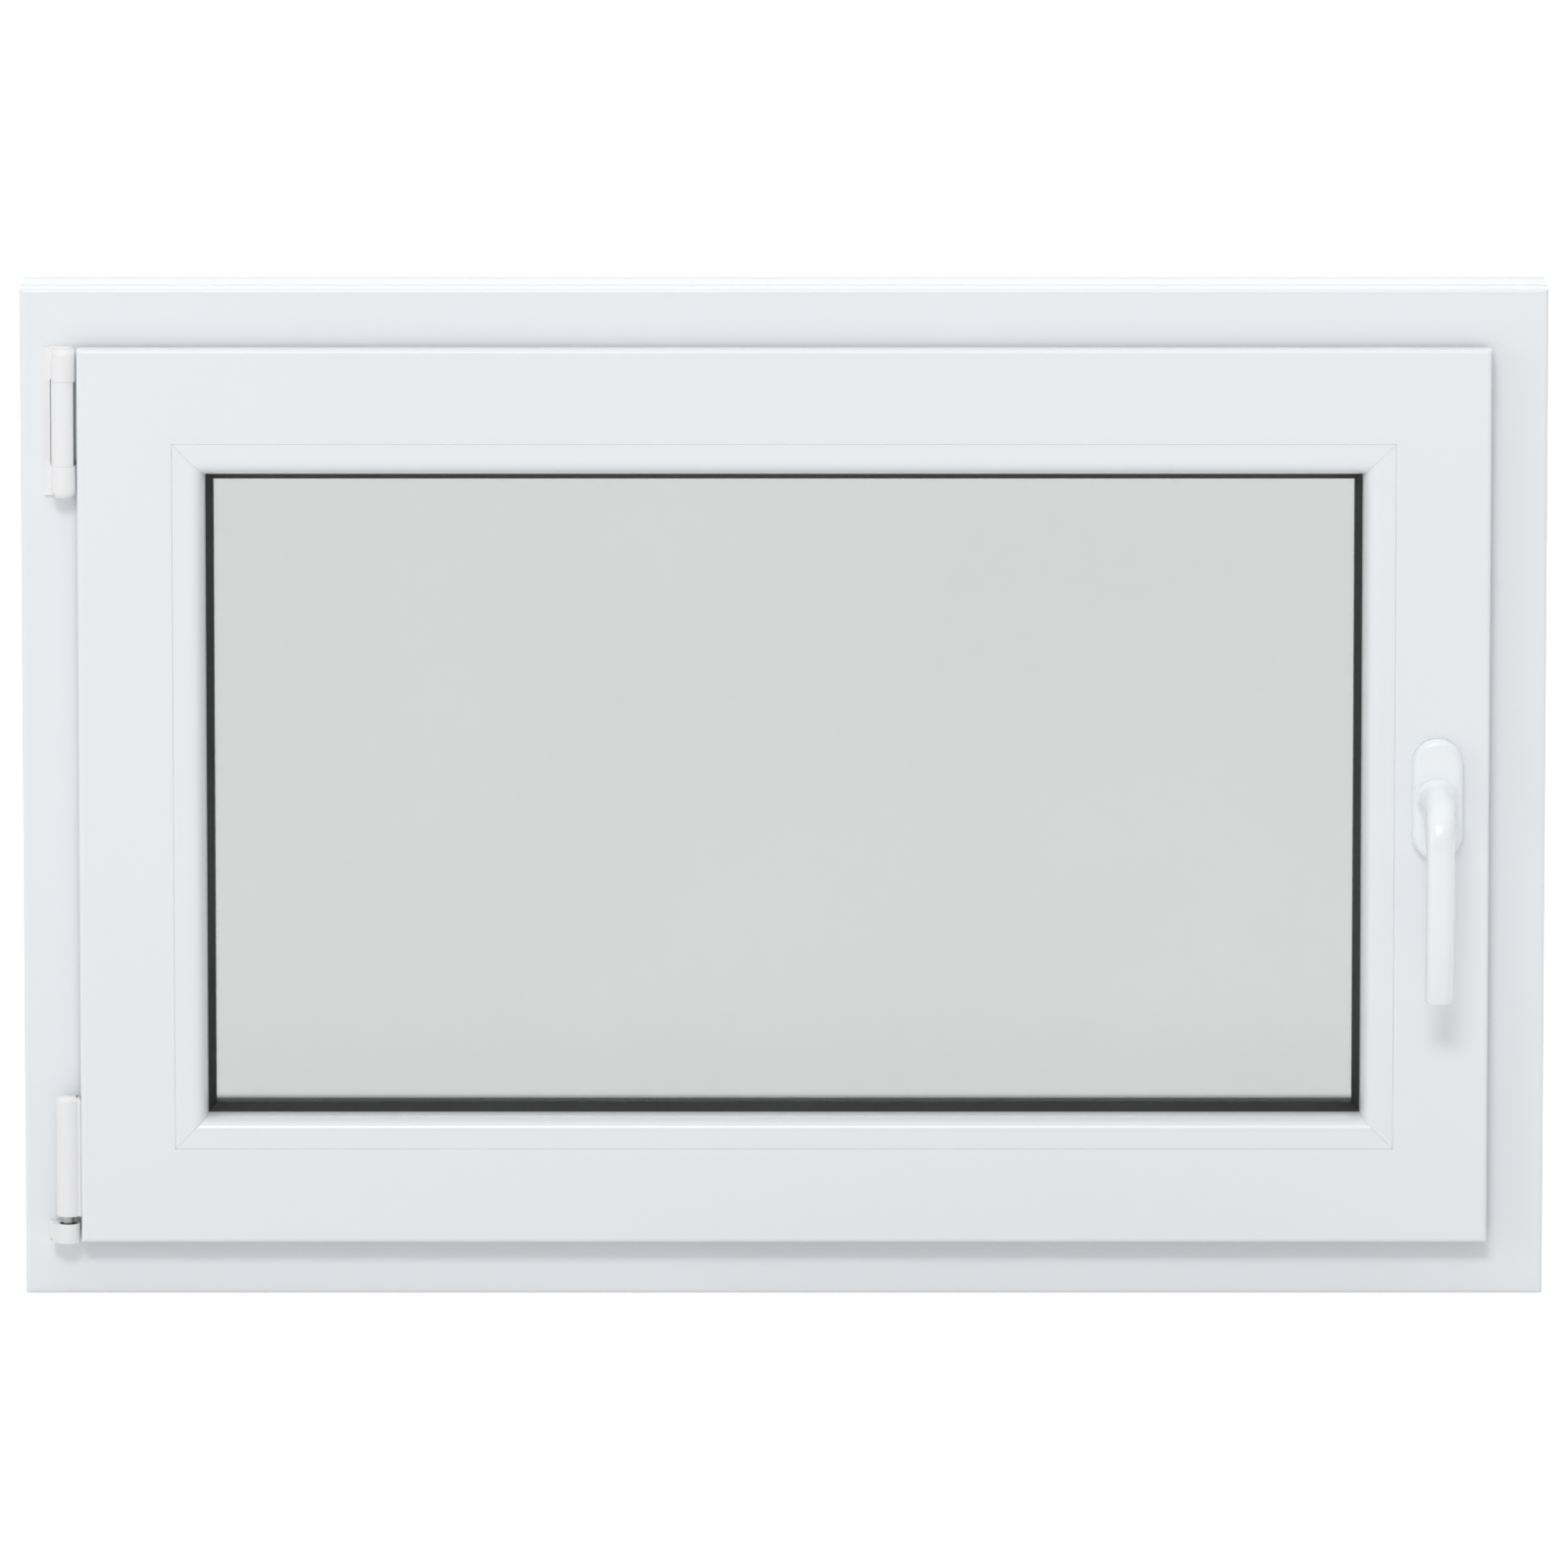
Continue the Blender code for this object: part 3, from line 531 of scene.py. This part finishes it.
def mitred_member(
    name: str,
    opening: Opening,
    side: Side,
    section: np.ndarray,
    cut_mm: float,
    finish: Finish,
    body: str,
    replaces: tuple[str, ...],
    ease_mm: float = 0.1,
) -> bpy.types.Object:
    """One member, saw-cut at 45 degrees at both ends, with its ends closed.

    Args:
        name: Name of the piece.
        opening: Outer size of the window.
        side: Side that it lies on.
        section: Outline in (u, v) millimetres.
        cut_mm: Gap between its end and the mitre plane, along the member.
        finish: Its material.
        body: Moving body that it rides on.
        replaces: CAD nodes that it stands for.
        ease_mm: How far the cut's rim is drawn in.

    Returns:
        The finished member.
    """
    eased = section - outward(section) * ease_mm
    near, far = 3.0 * ease_mm, 8.0 * ease_mm
    stations = ((eased, cut_mm), (section, cut_mm + near), (section, cut_mm + far))
    rows = [opening.place(side, o[:, 0], o[:, 1], np.array(i)) for o, i in stations]
    rows += [opening.place(side, o[:, 0], o[:, 1], np.array(-i)) for o, i in reversed(stations)]
    points = np.array(rows)
    length = float(np.ptp(points[:, 0, 0]) + np.ptp(points[:, 0, 2])) / MM
    down = np.array([0.0, near, far, length - far, length - near, length]) * MM
    uv = np.concatenate([member_uv(section, down), section * MM, section * MM])
    return make_piece(name, points, tube_faces(*points.shape[:2]), finish, body, replaces, uv)


class Stand(Enum):
    """Direction in which a prism's outline is carried."""

    UPRIGHT = "outline in (u, v) of the hinge side, carried up in z"
    FACING = "outline in world (x, z), carried back in v"


def rounded_prism(
    name: str,
    opening: Opening,
    outline: np.ndarray,
    ends: tuple[float, float],
    rounding: tuple[float, float],
    stand: Stand,
    finish: Finish,
    body: str,
    replaces: tuple[str, ...] = (),
) -> bpy.types.Object:
    """Outline carried between two levels, with its rims rounded as quarter circles.

    Near each end the outline is drawn in by r (1 - cos a) where the level stands r (1 - sin a)
    from the end, for a from 0 to 90 degrees. A rim of radius 0 keeps a hair's breadth.

    Args:
        name: Name of the piece.
        opening: Outer size of the window.
        outline: Closed outline in millimetres.
        ends: Lowest and highest level, in millimetres.
        rounding: Radius of the rim at each end, in millimetres.
        stand: Plane of the outline and direction of the carry.
        finish: Its material.
        body: Moving body that it rides on.
        replaces: CAD nodes that it stands for.

    Returns:
        The finished prism.
    """
    angle = np.linspace(math.pi / 2.0, 0.0, 6)
    normal = outward(outline)
    if stand is Stand.UPRIGHT:
        # What lies against the frame's face stays against it, up to the rim.
        normal[outline[:, 1] > -1.0, 1] = 0.0
    hair, hold = 0.02, 0.3
    low, high = max(rounding[0], hair), max(rounding[1], hair)
    draw = np.concatenate([low * (1.0 - np.cos(angle)), [0.0, 0.0], high * (1.0 - np.cos(angle[::-1]))])
    first = ends[0] + low * (1.0 - np.sin(angle))
    last = ends[1] - high * (1.0 - np.sin(angle[::-1]))
    level = np.concatenate([first, [ends[0] + low + hold, ends[1] - high - hold], last])
    flat = outline[None] - normal[None] * draw[:, None, None]
    height = np.broadcast_to(level[:, None], flat.shape[:2])
    x0, y0, z0 = opening.low
    if stand is Stand.UPRIGHT:
        points = np.stack([x0 + flat[..., 0] * MM, y0 + flat[..., 1] * MM, z0 + height * MM], axis=-1)
    else:
        points = np.stack([flat[..., 0] * MM, y0 + height * MM, z0 + flat[..., 1] * MM], axis=-1)
    return make_piece(name, points, tube_faces(*points.shape[:2]), finish, body, replaces)


def circle_outline(
    centre: tuple[float, float],
    radius: float,
    start: float,
    end: float,
    count: int,
) -> np.ndarray:
    """Points on an arc, radius times cosine and sine of an even spread of angles.

    Args:
        centre: Centre of the arc.
        radius: Its radius.
        start: First angle in degrees.
        end: Last angle in degrees.
        count: Number of points.

    Returns:
        Points shaped (count, 2).
    """
    angle = np.radians(np.linspace(start, end, count))
    return np.stack([centre[0] + radius * np.cos(angle), centre[1] + radius * np.sin(angle)], axis=-1)


# ---------------------------------------------------------------- sub-assemblies


@dataclass
class OuterFrame:
    """Fixed frame welded from one profile, with the seal on its outer stop."""

    opening: Opening
    face_mm: float = 40.0
    stop_mm: float = 65.0
    stop_front_mm: float = 54.0
    depth_mm: float = 70.0

    def section(self) -> np.ndarray:
        """Outline of the profile, from its room face round to the fixing grooves."""
        face, stop, front, depth = self.face_mm, self.stop_mm, self.stop_front_mm, self.depth_mm
        return fillet([
            (0.0, 0.0, 2.6), (face, 0.0, 1.8), (face, front, 0.8), (56.8, front, 0.2),
            (56.8, front + 2.2, 0.3), (61.2, front + 2.2, 0.3), (61.2, front, 0.2), (stop, front, 1.2),
            (stop, depth, 2.6), (0.0, depth, 2.4), (0.0, 58.0, 0.1), (0.5, 58.0, 0.1), (0.5, 50.0, 0.1),
            (0.0, 50.0, 0.1), (0.0, 20.0, 0.1), (0.5, 20.0, 0.1), (0.5, 12.0, 0.1), (0.0, 12.0, 0.1),
        ])

    def seal_section(self) -> np.ndarray:
        """Outline of the stop seal: a foot in the groove and a soft bulb in front."""
        front = self.stop_front_mm
        return fillet([
            (57.2, front - 0.3, 0.15), (56.4, front - 0.4, 0.4), (56.6, 51.2, 1.0), (59.0, 50.2, 1.0),
            (62.0, 51.2, 0.9), (62.0, front - 0.4, 0.3), (60.8, front - 0.3, 0.15),
            (60.8, front + 1.9, 0.3), (57.2, front + 1.9, 0.3),
        ], 3)

    def build(self) -> None:
        """Build the profile and its seal."""
        members = ("frame_sill", "frame_head", "frame_hinge_jamb", "frame_lock_jamb")
        swept_ring("frame_profile", self.opening, self.section(), UPVC, "frame", members, Weld())
        swept_ring("frame_stop_seal", self.opening, self.seal_section(), RUBBER, "frame", ("frame_gasket",))
        for node in ("drain_cap_left", "drain_cap_right"):
            self.drain_cap(node)

    def drain_cap(self, node: str) -> None:
        """Hooded cover over a drain slot, on the weather side.

        Args:
            node: CAD node that it stands for.
        """
        low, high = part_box(node)
        y0, z0 = self.opening.low[1], self.opening.low[2]
        left, right = low[0] / MM, high[0] / MM
        bottom, top = (low[2] - z0) / MM, (high[2] - z0) / MM
        foot_radius, head_radius, rim = 2.5, 4.5, 1.4
        outline = fillet([
            (left, bottom, foot_radius), (right, bottom, foot_radius),
            (right, top, head_radius), (left, top, head_radius),
        ])
        depths = ((low[1] - y0) / MM, (high[1] - y0) / MM)
        rounded_prism(node + "_hood", self.opening, outline, depths, (0.0, rim), Stand.FACING, COVER,
                      "frame", (node,))


@dataclass
class Sash:
    """Opening sash welded from one profile."""

    opening: Opening
    flange_mm: float = 34.2
    front_mm: float = -20.0
    back_mm: float = 50.0
    bead_line_mm: float = 90.0

    def section(self) -> np.ndarray:
        """Outline of the profile: flange, front, bead seat, glass lip, back and hardware groove."""
        edge, front, back, line = self.flange_mm, self.front_mm, self.back_mm, self.bead_line_mm
        return fillet([
            (edge, front, 2.2), (line, front, 0.35), (line, -16.0, 0.3), (92.0, -16.0, 0.3),
            (92.0, 36.0, 0.4), (112.0, 36.0, 0.8), (112.0, back, 3.0), (52.0, back, 1.8),
            (52.0, 17.0, 0.3), (55.0, 17.0, 0.3), (55.0, 15.0, 0.3), (64.0, 15.0, 0.4),
            (64.0, 3.0, 0.4), (55.0, 3.0, 0.3), (55.0, 1.0, 0.3), (52.0, 1.0, 0.3),
            (52.0, -4.0, 0.6), (edge, -4.0, 1.4),
        ])

    def build(self) -> None:
        """Build the sash profile."""
        members = ("sash_bottom_rail", "sash_top_rail", "sash_hinge_stile", "sash_lock_stile")
        swept_ring("sash_profile", self.opening, self.section(), UPVC, "sash", members, Weld())


@dataclass
class Glazing:
    """Four clipped beads and the rubber wedges that hold the sealed unit."""

    opening: Opening
    bead_line_mm: float = 90.05
    slope_mm: float = 98.0
    tip_mm: float = 109.0
    front_mm: float = -19.85
    bead_back_mm: float = 1.0
    power: float = 3.2
    joint_mm: float = 0.04

    def bead_section(self) -> np.ndarray:
        """Outline of a bead: flat front, then a quarter of a superellipse down to the glass."""
        angle = np.radians(np.linspace(0.0, 90.0, 29))
        across, deep = self.tip_mm - self.slope_mm, self.bead_back_mm - self.front_mm
        ease = 2.0 / self.power
        curve = np.stack([
            self.slope_mm + across * np.sin(angle) ** ease, self.bead_back_mm - deep * np.cos(angle) ** ease,
        ], axis=-1)
        foot = np.array([
            (self.tip_mm - 0.4, 1.0), (92.4, 1.0), (92.3, 0.8), (92.3, -16.2), (92.1, -16.3),
            (self.bead_line_mm, -16.3), (self.bead_line_mm, self.front_mm + 0.35),
            (self.bead_line_mm + 0.05, self.front_mm + 0.17),
            (self.bead_line_mm + 0.17, self.front_mm + 0.05),
            (self.bead_line_mm + 0.35, self.front_mm), (self.bead_line_mm + 0.9, self.front_mm),
        ])
        return np.concatenate([curve, foot])

    def inner_wedge(self) -> np.ndarray:
        """Outline of the room-side wedge: a rounded lip that leans from the bead onto the glass."""
        return fillet([
            (103.0, 1.35, 0.3), (109.0, 1.35, 0.4), (109.9, 2.0, 0.5), (113.0, 6.0, 0.9), (113.8, 7.7, 0.3),
            (103.0, 7.7, 0.3),
        ], 4)

    def outer_wedge(self) -> np.ndarray:
        """Outline of the weather-side wedge."""
        return fillet([(102.0, 32.3, 0.3), (112.9, 32.3, 0.3), (112.4, 34.6, 0.8), (111.0, 35.7, 0.4),
                       (102.0, 35.7, 0.3)], 4)

    def build(self) -> None:
        """Build the beads and the wedges."""
        names = {
            Side.SILL: "bead_bottom", Side.HEAD: "bead_top",
            Side.HINGE: "bead_left", Side.LOCK: "bead_right",
        }
        for side, node in names.items():
            mitred_member(node + "_profile", self.opening, side, self.bead_section(), self.joint_mm, UPVC,
                          "sash", (node,))
        swept_ring("inner_wedge_seal", self.opening, self.inner_wedge(), RUBBER, "sash",
                   ("inner_glazing_gasket",))
        swept_ring("outer_wedge_seal", self.opening, self.outer_wedge(), RUBBER, "sash",
                   ("outer_glazing_gasket",))


@dataclass
class Hinges:
    """Moulded covers of the stay bearing and its arm at the top, and of the corner bearing below."""

    opening: Opening
    axis_mm: tuple[float, float] = (26.4, -12.0)
    sash_edge_mm: float = 34.05
    radius_mm: float = 7.3
    wall_mm: float = 1.5
    stay_mm: tuple[float, float] = (477.6, 566.3)
    slot_mm: tuple[float, float] = (496.6, 546.4)
    band_mm: tuple[float, float] = (48.8, 120.6)
    plate_mm: tuple[float, float] = (33.2, 44.3)

    def hood_outline(self) -> np.ndarray:
        """Plan of a hood: a round front over the axis, with sides that run back to the frame."""
        u, v = self.axis_mm
        front = circle_outline((u, v), self.radius_mm, 180.0, 360.0, 25)
        edge = self.sash_edge_mm
        right = np.array([(edge, v + 0.9), (edge, -4.0), (u + 5.4, -0.5), (u + 5.0, -0.35)])
        left = np.array([(u - self.radius_mm + 0.4, -0.35), (u - self.radius_mm, -0.75)])
        return np.concatenate([front, right, left])

    def clip_outline(self) -> np.ndarray:
        """Plan of the clip on the stay arm's knuckle: a ring, open where the arm leaves it."""
        outer = circle_outline(self.axis_mm, self.radius_mm, 84.0, 324.0, 33)
        inner = circle_outline(self.axis_mm, self.radius_mm - self.wall_mm, 322.0, 86.0, 29)
        return np.concatenate([outer, inner])

    def sleeve_outline(self) -> np.ndarray:
        """Plan of the lower cover: a round sleeve with a web that meets the sash's edge."""
        ring = circle_outline(self.axis_mm, self.radius_mm - 0.05, 38.0, 322.0, 33)
        edge = self.sash_edge_mm
        web = np.array([(edge - 0.6, ring[-1, 1]), (edge, ring[-1, 1] + 0.5), (edge, ring[0, 1])])
        return np.concatenate([ring, web])

    def build(self) -> None:
        """Build the covers of both hinges."""
        low, high = self.stay_mm
        first, last = self.slot_mm
        play = 0.1
        hood, clip = self.hood_outline(), self.clip_outline()
        rounded_prism("stay_cover_lower", self.opening, hood, (low, first), (4.6, 0.0), Stand.UPRIGHT, COVER,
                      "frame", ("stay_bearing_cap",))
        rounded_prism("stay_cover_upper", self.opening, hood, (last, high), (0.0, 5.0), Stand.UPRIGHT, COVER,
                      "frame", ("stay_bearing_cap",))
        rounded_prism("stay_arm_clip", self.opening, clip, (first + play, last - play), (0.0, 0.0),
                      Stand.UPRIGHT, COVER, "stay_arm")
        rounded_prism("band_cover", self.opening, self.sleeve_outline(), self.band_mm, (0.8, 3.0),
                      Stand.UPRIGHT, COVER, "sash", ("corner_band_cap",))
        plate = fillet([(14.2, -0.3, 0.1), (14.2, -2.0, 0.7), (16.85, -2.0, 0.1), (16.85, -0.3, 0.1)])
        rounded_prism("bearing_plate_cover", self.opening, plate, self.plate_mm, (0.4, 0.6), Stand.UPRIGHT,
                      COVER, "frame", ("corner_bearing_cap",))


@dataclass
class LeverHandle:
    """Rosette and lever of the tilt-and-turn handle."""

    opening: Opening
    centre_mm: tuple[float, float] = (385.0, 300.0)
    rosette_mm: tuple[float, float] = (15.0, 36.0)
    rosette_depth_mm: tuple[float, float] = (-20.06, -30.2)
    hole_mm: float = 10.95

    def rosette_points(self) -> np.ndarray:
        """Rosette as rings: up the side, over the rounded rim, in to the neck and down its hole.

        A stadium of half-width r and half-height h is r cos a, +-(h - r) + r sin a. The front
        rings blend from the stadium to the neck's circle.

        Returns:
            Points shaped (rings, angles, 3).
        """
        angle = (np.arange(72) + 0.5) * math.tau / 72
        half, tall = self.rosette_mm
        base, front = self.rosette_depth_mm
        unit = np.stack([np.cos(angle), np.sin(angle)], axis=-1)
        lift = np.stack([np.zeros_like(angle), np.sign(np.sin(angle)) * (tall - half)], axis=-1)
        bend = np.linspace(0.0, math.pi / 2.0, 9)
        rim = 4.2
        draw = np.concatenate([[0.3, 0.0, 0.0], rim * (1.0 - np.cos(bend[1:]))])
        level = np.concatenate([[base, base - 0.3, front + rim + 0.6], front + rim - rim * np.sin(bend[1:])])
        side = (half - draw)[:, None, None] * unit + lift
        neck = self.hole_mm * unit
        share = np.array([0.05, 0.5, 0.93, 0.98])[:, None, None]
        face = side[-1] * (1.0 - share) + neck * share
        hole = np.stack([neck, neck, neck])
        flat = np.concatenate([side, face, hole])
        depth = np.concatenate([level, [front - 0.05, front - 0.25, front - 0.2, front - 0.1],
                                [front + 0.3, front + 4.0, base - 0.1]])
        x = self.centre_mm[0] + flat[..., 0]
        z = self.centre_mm[1] + flat[..., 1]
        y = self.opening.low[1] / MM + np.broadcast_to(depth[:, None], x.shape)
        return np.stack([x, y, z + self.opening.low[2] / MM], axis=-1) * MM

    def lever_points(self) -> np.ndarray:
        """Lever as superellipse rings along two cubic curves: out of the rosette, then down.

        A ring stands square to the path; its half-width and half-thickness ease along the
        path, and its exponent grows from 2, a circle, to 2.8, a soft rectangle.

        Returns:
            Points shaped (rings, angles, 3).
        """
        t = np.linspace(0.0, 1.0, 22)[:, None]
        neck = np.array([(-24.6, 0.0), (-52.0, 0.0), (-73.0, 2.0), (-73.5, -28.0)])
        grip = np.array([(-73.5, -28.0), (-73.8, -55.0), (-71.0, -85.0), (-61.5, -115.0)])
        paths = [
            (1 - t) ** 3 * p[0] + 3 * (1 - t) ** 2 * t * p[1] + 3 * (1 - t) * t ** 2 * p[2] + t ** 3 * p[3]
            for p in (neck, grip)
        ]
        path = np.concatenate([paths[0], paths[1][1:]])
        step = np.gradient(path, axis=0)
        step /= np.linalg.norm(step, axis=1, keepdims=True)
        across = np.stack([-step[:, 1], step[:, 0]], axis=-1)
        length = np.concatenate([[0.0], np.cumsum(np.linalg.norm(np.diff(path, axis=0), axis=1))])
        collar_end, tip_start = 12.0, length[-1] - 2.5
        keep = (length > collar_end) & (length < tip_start)
        collar = np.array([0.0, 5.85, 5.95, 6.05, 6.3, 6.8, 7.6, 8.8, 10.4])
        station = np.concatenate([collar, length[keep], length[-1] - np.array([2.0, 0.9, 0.4, 0.12, 0.0])])
        flare = np.zeros_like(station)
        flare[:len(collar)] = [0.0, 0.0, 2.1, 2.25, 2.0, 1.4, 0.8, 0.35, 0.1]
        tip = np.concatenate([np.zeros(len(collar) + keep.sum()), [0.0, 0.1, 0.35, 0.65, 1.1]]) - flare
        path = np.stack([np.interp(station, length, path[:, k]) for k in (0, 1)], axis=-1)
        across = np.stack([np.interp(station, length, across[:, k]) for k in (0, 1)], axis=-1)
        marks = [0.0, 8.0, 22.0, 42.0, 62.0, 100.0, length[-1]]
        wide = np.interp(station, marks, [10.8, 10.4, 9.6, 9.0, 8.4, 8.3, 8.1]) - tip
        thick = np.interp(station, marks, [10.8, 10.4, 9.2, 8.0, 6.9, 6.2, 5.4]) - tip
        power = np.interp(station, marks, [2.0, 2.0, 2.1, 2.4, 2.7, 2.8, 2.8])
        angle = np.arange(48) * math.tau / 48
        cos, sin = np.cos(angle), np.sin(angle)
        bend = (2.0 / power)[:, None]
        side = np.sign(cos) * np.abs(cos) ** bend * wide[:, None]
        up = np.sign(sin) * np.abs(sin) ** bend * thick[:, None]
        v = path[:, :1] + across[:, :1] * up
        z = path[:, 1:] + across[:, 1:] * up
        x = self.centre_mm[0] + side
        y = self.opening.low[1] / MM + v
        return np.stack([x, y, self.centre_mm[1] + z + self.opening.low[2] / MM], axis=-1) * MM

    def build(self) -> None:
        """Build the rosette and the lever."""
        rosette = self.rosette_points()
        faces = grid_faces(*rosette.shape[:2], close_rows=True).tolist()
        make_piece("rosette_cover", rosette, faces, ENAMEL, "sash", ("handle_rosette",), smooth_deg=50.0)
        lever = self.lever_points()
        faces = tube_faces(*lever.shape[:2])
        make_piece("lever", lever, faces, ENAMEL, "handle", ("handle_grip",), smooth_deg=60.0)


@dataclass
class Hardware:
    """CAD nodes that keep their shape and take a real finish."""

    painted: tuple[str, ...] = ("stay_bearing", "corner_bearing")
    finishes: dict[str, Finish] = field(default_factory=lambda: {f.slot: f for f in ALL_FINISHES})

    def dress(self) -> None:
        """Give every CAD node the finish of its slot, white where it is painted."""
        for subpart in frame["record"]["subparts"]:
            node = frame["nodes"][subpart["node"]]
            finish = self.finishes[subpart["material_slot"]]
            if subpart["node"] in self.painted or finish is UPVC:
                finish = COVER
            material = finish.build()
            for index in range(len(node.material_slots)):
                node.material_slots[index].material = material
            if not node.material_slots:
                node.data.materials.append(material)


# ---------------------------------------------------------------- studio


@dataclass
class Studio:
    """Pale floor, white surround, a soft key light, a weak side panel and the camera."""

    target: Vector
    distance_m: float = 9.0
    elevation_deg: float = 8.3
    lens_mm: float = 353.4
    key_watts: float = 166.0
    key_distance_m: float = 8.0
    key_azimuth_deg: float = 5.5
    key_elevation_deg: float = 35.0
    key_size_m: tuple[float, float] = (2.8, 1.5)
    surround: float = 0.155
    overhead: float = 1.0
    floor_glow: float = 0.74
    floor_bounce: float = 0.26
    behind: float = 0.8
    side_watts: float = 230.0
    side_place_m: tuple[float, float, float] = (-12.4, -8.8, 3.4)
    side_size_m: tuple[float, float] = (6.8, 6.8)
    aim_lift_m: float = 0.0055

    def floor(self) -> None:
        """Wide pale floor under the window."""
        half, level, grey = 40.0, -0.001, 0.5
        mesh = bpy.data.meshes.new("floor")
        corners = [(-half, -half, level), (half, -half, level), (half, half, level), (-half, half, level)]
        mesh.from_pydata(corners, [], [(0, 1, 2, 3)])
        floor = bpy.data.objects.new("floor", mesh)
        bpy.context.scene.collection.objects.link(floor)
        material = bpy.data.materials.new("matt_white_paper")
        material.use_nodes = True
        tree = material.node_tree
        shader = tree.nodes["Principled BSDF"]
        place = add_node(tree, "ShaderNodeTexCoord").outputs["Object"]
        noise = add_node(tree, "ShaderNodeTexNoise", {"Vector": place, "Scale": 400.0, "Detail": 2.0})
        rough = add_node(
            tree, "ShaderNodeMapRange", {"Value": noise.outputs["Fac"], "To Min": 0.85, "To Max": 0.95},
        )
        tree.links.new(rough.outputs["Result"], shader.inputs["Roughness"])
        shader.inputs["Base Color"].default_value = (grey, grey, grey, 1.0)
        shader.inputs["Specular IOR Level"].default_value = 0.1
        # The paper glows white where it is looked at, and gives off much less as a bounce light.
        soft = add_node(tree, "ShaderNodeLightPath").outputs["Is Diffuse Ray"]
        glow = add_node(
            tree, "ShaderNodeMapRange",
            {"Value": soft, "To Min": self.floor_glow, "To Max": self.floor_bounce},
        )
        shader.inputs["Emission Color"].default_value = (1.0, 1.0, 1.0, 1.0)
        tree.links.new(glow.outputs["Result"], shader.inputs["Emission Strength"])
        mesh.materials.append(material)

    def surround_light(self) -> None:
        """White surround, brighter overhead and behind, that shows as pure white where it is looked at."""
        world = bpy.data.worlds.new("white_surround")
        bpy.context.scene.world = world
        world.use_nodes = True
        tree = world.node_tree
        seen = add_node(tree, "ShaderNodeLightPath").outputs["Is Camera Ray"]
        place = add_node(tree, "ShaderNodeTexCoord").outputs["Generated"]
        direction = add_node(tree, "ShaderNodeSeparateXYZ", {"Vector": place}).outputs
        upward = add_node(
            tree, "ShaderNodeMapRange",
            {"Value": direction["Z"], "From Min": 0.1, "From Max": 0.9, "To Min": self.surround,
             "To Max": self.overhead},
        ).outputs["Result"]
        backward = add_node(
            tree, "ShaderNodeMapRange", {"Value": direction["Y"], "To Min": 0.0, "To Max": self.behind},
        ).outputs["Result"]
        dome = add_node(tree, "ShaderNodeMath", {0: upward, 1: backward}, operation="ADD").outputs["Value"]
        level = add_node(tree, "ShaderNodeMapRange", {"Value": seen, "To Min": dome, "To Max": 1.0})
        background = tree.nodes["Background"]
        background.inputs["Color"].default_value = (1.0, 1.0, 1.0, 1.0)
        tree.links.new(level.outputs["Result"], background.inputs["Strength"])

    def lamp(self, name: str, toward: Vector, size: tuple[float, float], watts: float) -> None:
        """Soft oval light that faces the window.

        Args:
            name: Name of the light.
            toward: Its place from the middle of the window, in metres.
            size: Its width and height in metres.
            watts: Its power.
        """
        light = bpy.data.lights.new(name, "AREA")
        light.shape = "ELLIPSE"
        light.size, light.size_y = size
        light.energy = watts
        lamp = bpy.data.objects.new(name, light)
        lamp.location = self.target + toward
        lamp.rotation_euler = (-toward).to_track_quat("-Z", "Y").to_euler()
        bpy.context.scene.collection.objects.link(lamp)

    def lamps(self) -> None:
        """Key from the upper left in front, and a broad weak panel far on the left."""
        azimuth, elevation = math.radians(self.key_azimuth_deg), math.radians(self.key_elevation_deg)
        key = Vector((
            -math.sin(azimuth) * math.cos(elevation), -math.cos(azimuth) * math.cos(elevation),
            math.sin(elevation),
        ))
        self.lamp("key", key * self.key_distance_m, self.key_size_m, self.key_watts)
        self.lamp("side_panel", Vector(self.side_place_m), self.side_size_m, self.side_watts)

    def camera(self) -> None:
        """Camera straight in front of the window and above it, looking slightly down."""
        elevation = math.radians(self.elevation_deg)
        back = Vector((0.0, -math.cos(elevation), math.sin(elevation)))
        data = bpy.data.cameras.new("camera")
        data.sensor_width = 36.0
        data.lens = self.lens_mm
        camera = bpy.data.objects.new("camera", data)
        camera.location = self.target + back * (self.distance_m / math.cos(elevation))
        aim = self.target + Vector((0.0, 0.0, self.aim_lift_m))
        camera.rotation_euler = (aim - camera.location).to_track_quat("-Z", "Y").to_euler()
        bpy.context.scene.collection.objects.link(camera)
        bpy.context.scene.camera = camera

    def build(self) -> None:
        """Set up the whole studio."""
        bpy.context.scene.view_settings.view_transform = "Standard"
        self.floor()
        self.surround_light()
        self.lamps()
        self.camera()


def main() -> None:
    """Build the studio and the window's sub-assemblies in order."""
    logging.basicConfig(level=logging.INFO, format="%(name)s: %(message)s")
    low = np.array(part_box("frame_sill")[0])
    high = np.array(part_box("frame_head")[1])
    half_width = round(max(abs(low[0]), abs(high[0])) + CORNER_GAP, 3)
    opening = Opening(
        np.array([-half_width, low[1], low[2]]), np.array([half_width, high[1], high[2]]),
    )
    Studio(Vector((0.0, float(low[1]), float(low[2] + high[2]) / 2.0))).build()
    OuterFrame(opening).build()
    Sash(opening).build()
    Glazing(opening).build()
    Hinges(opening).build()
    LeverHandle(opening).build()
    Hardware().dress()


if __name__ == "__main__":
    main()
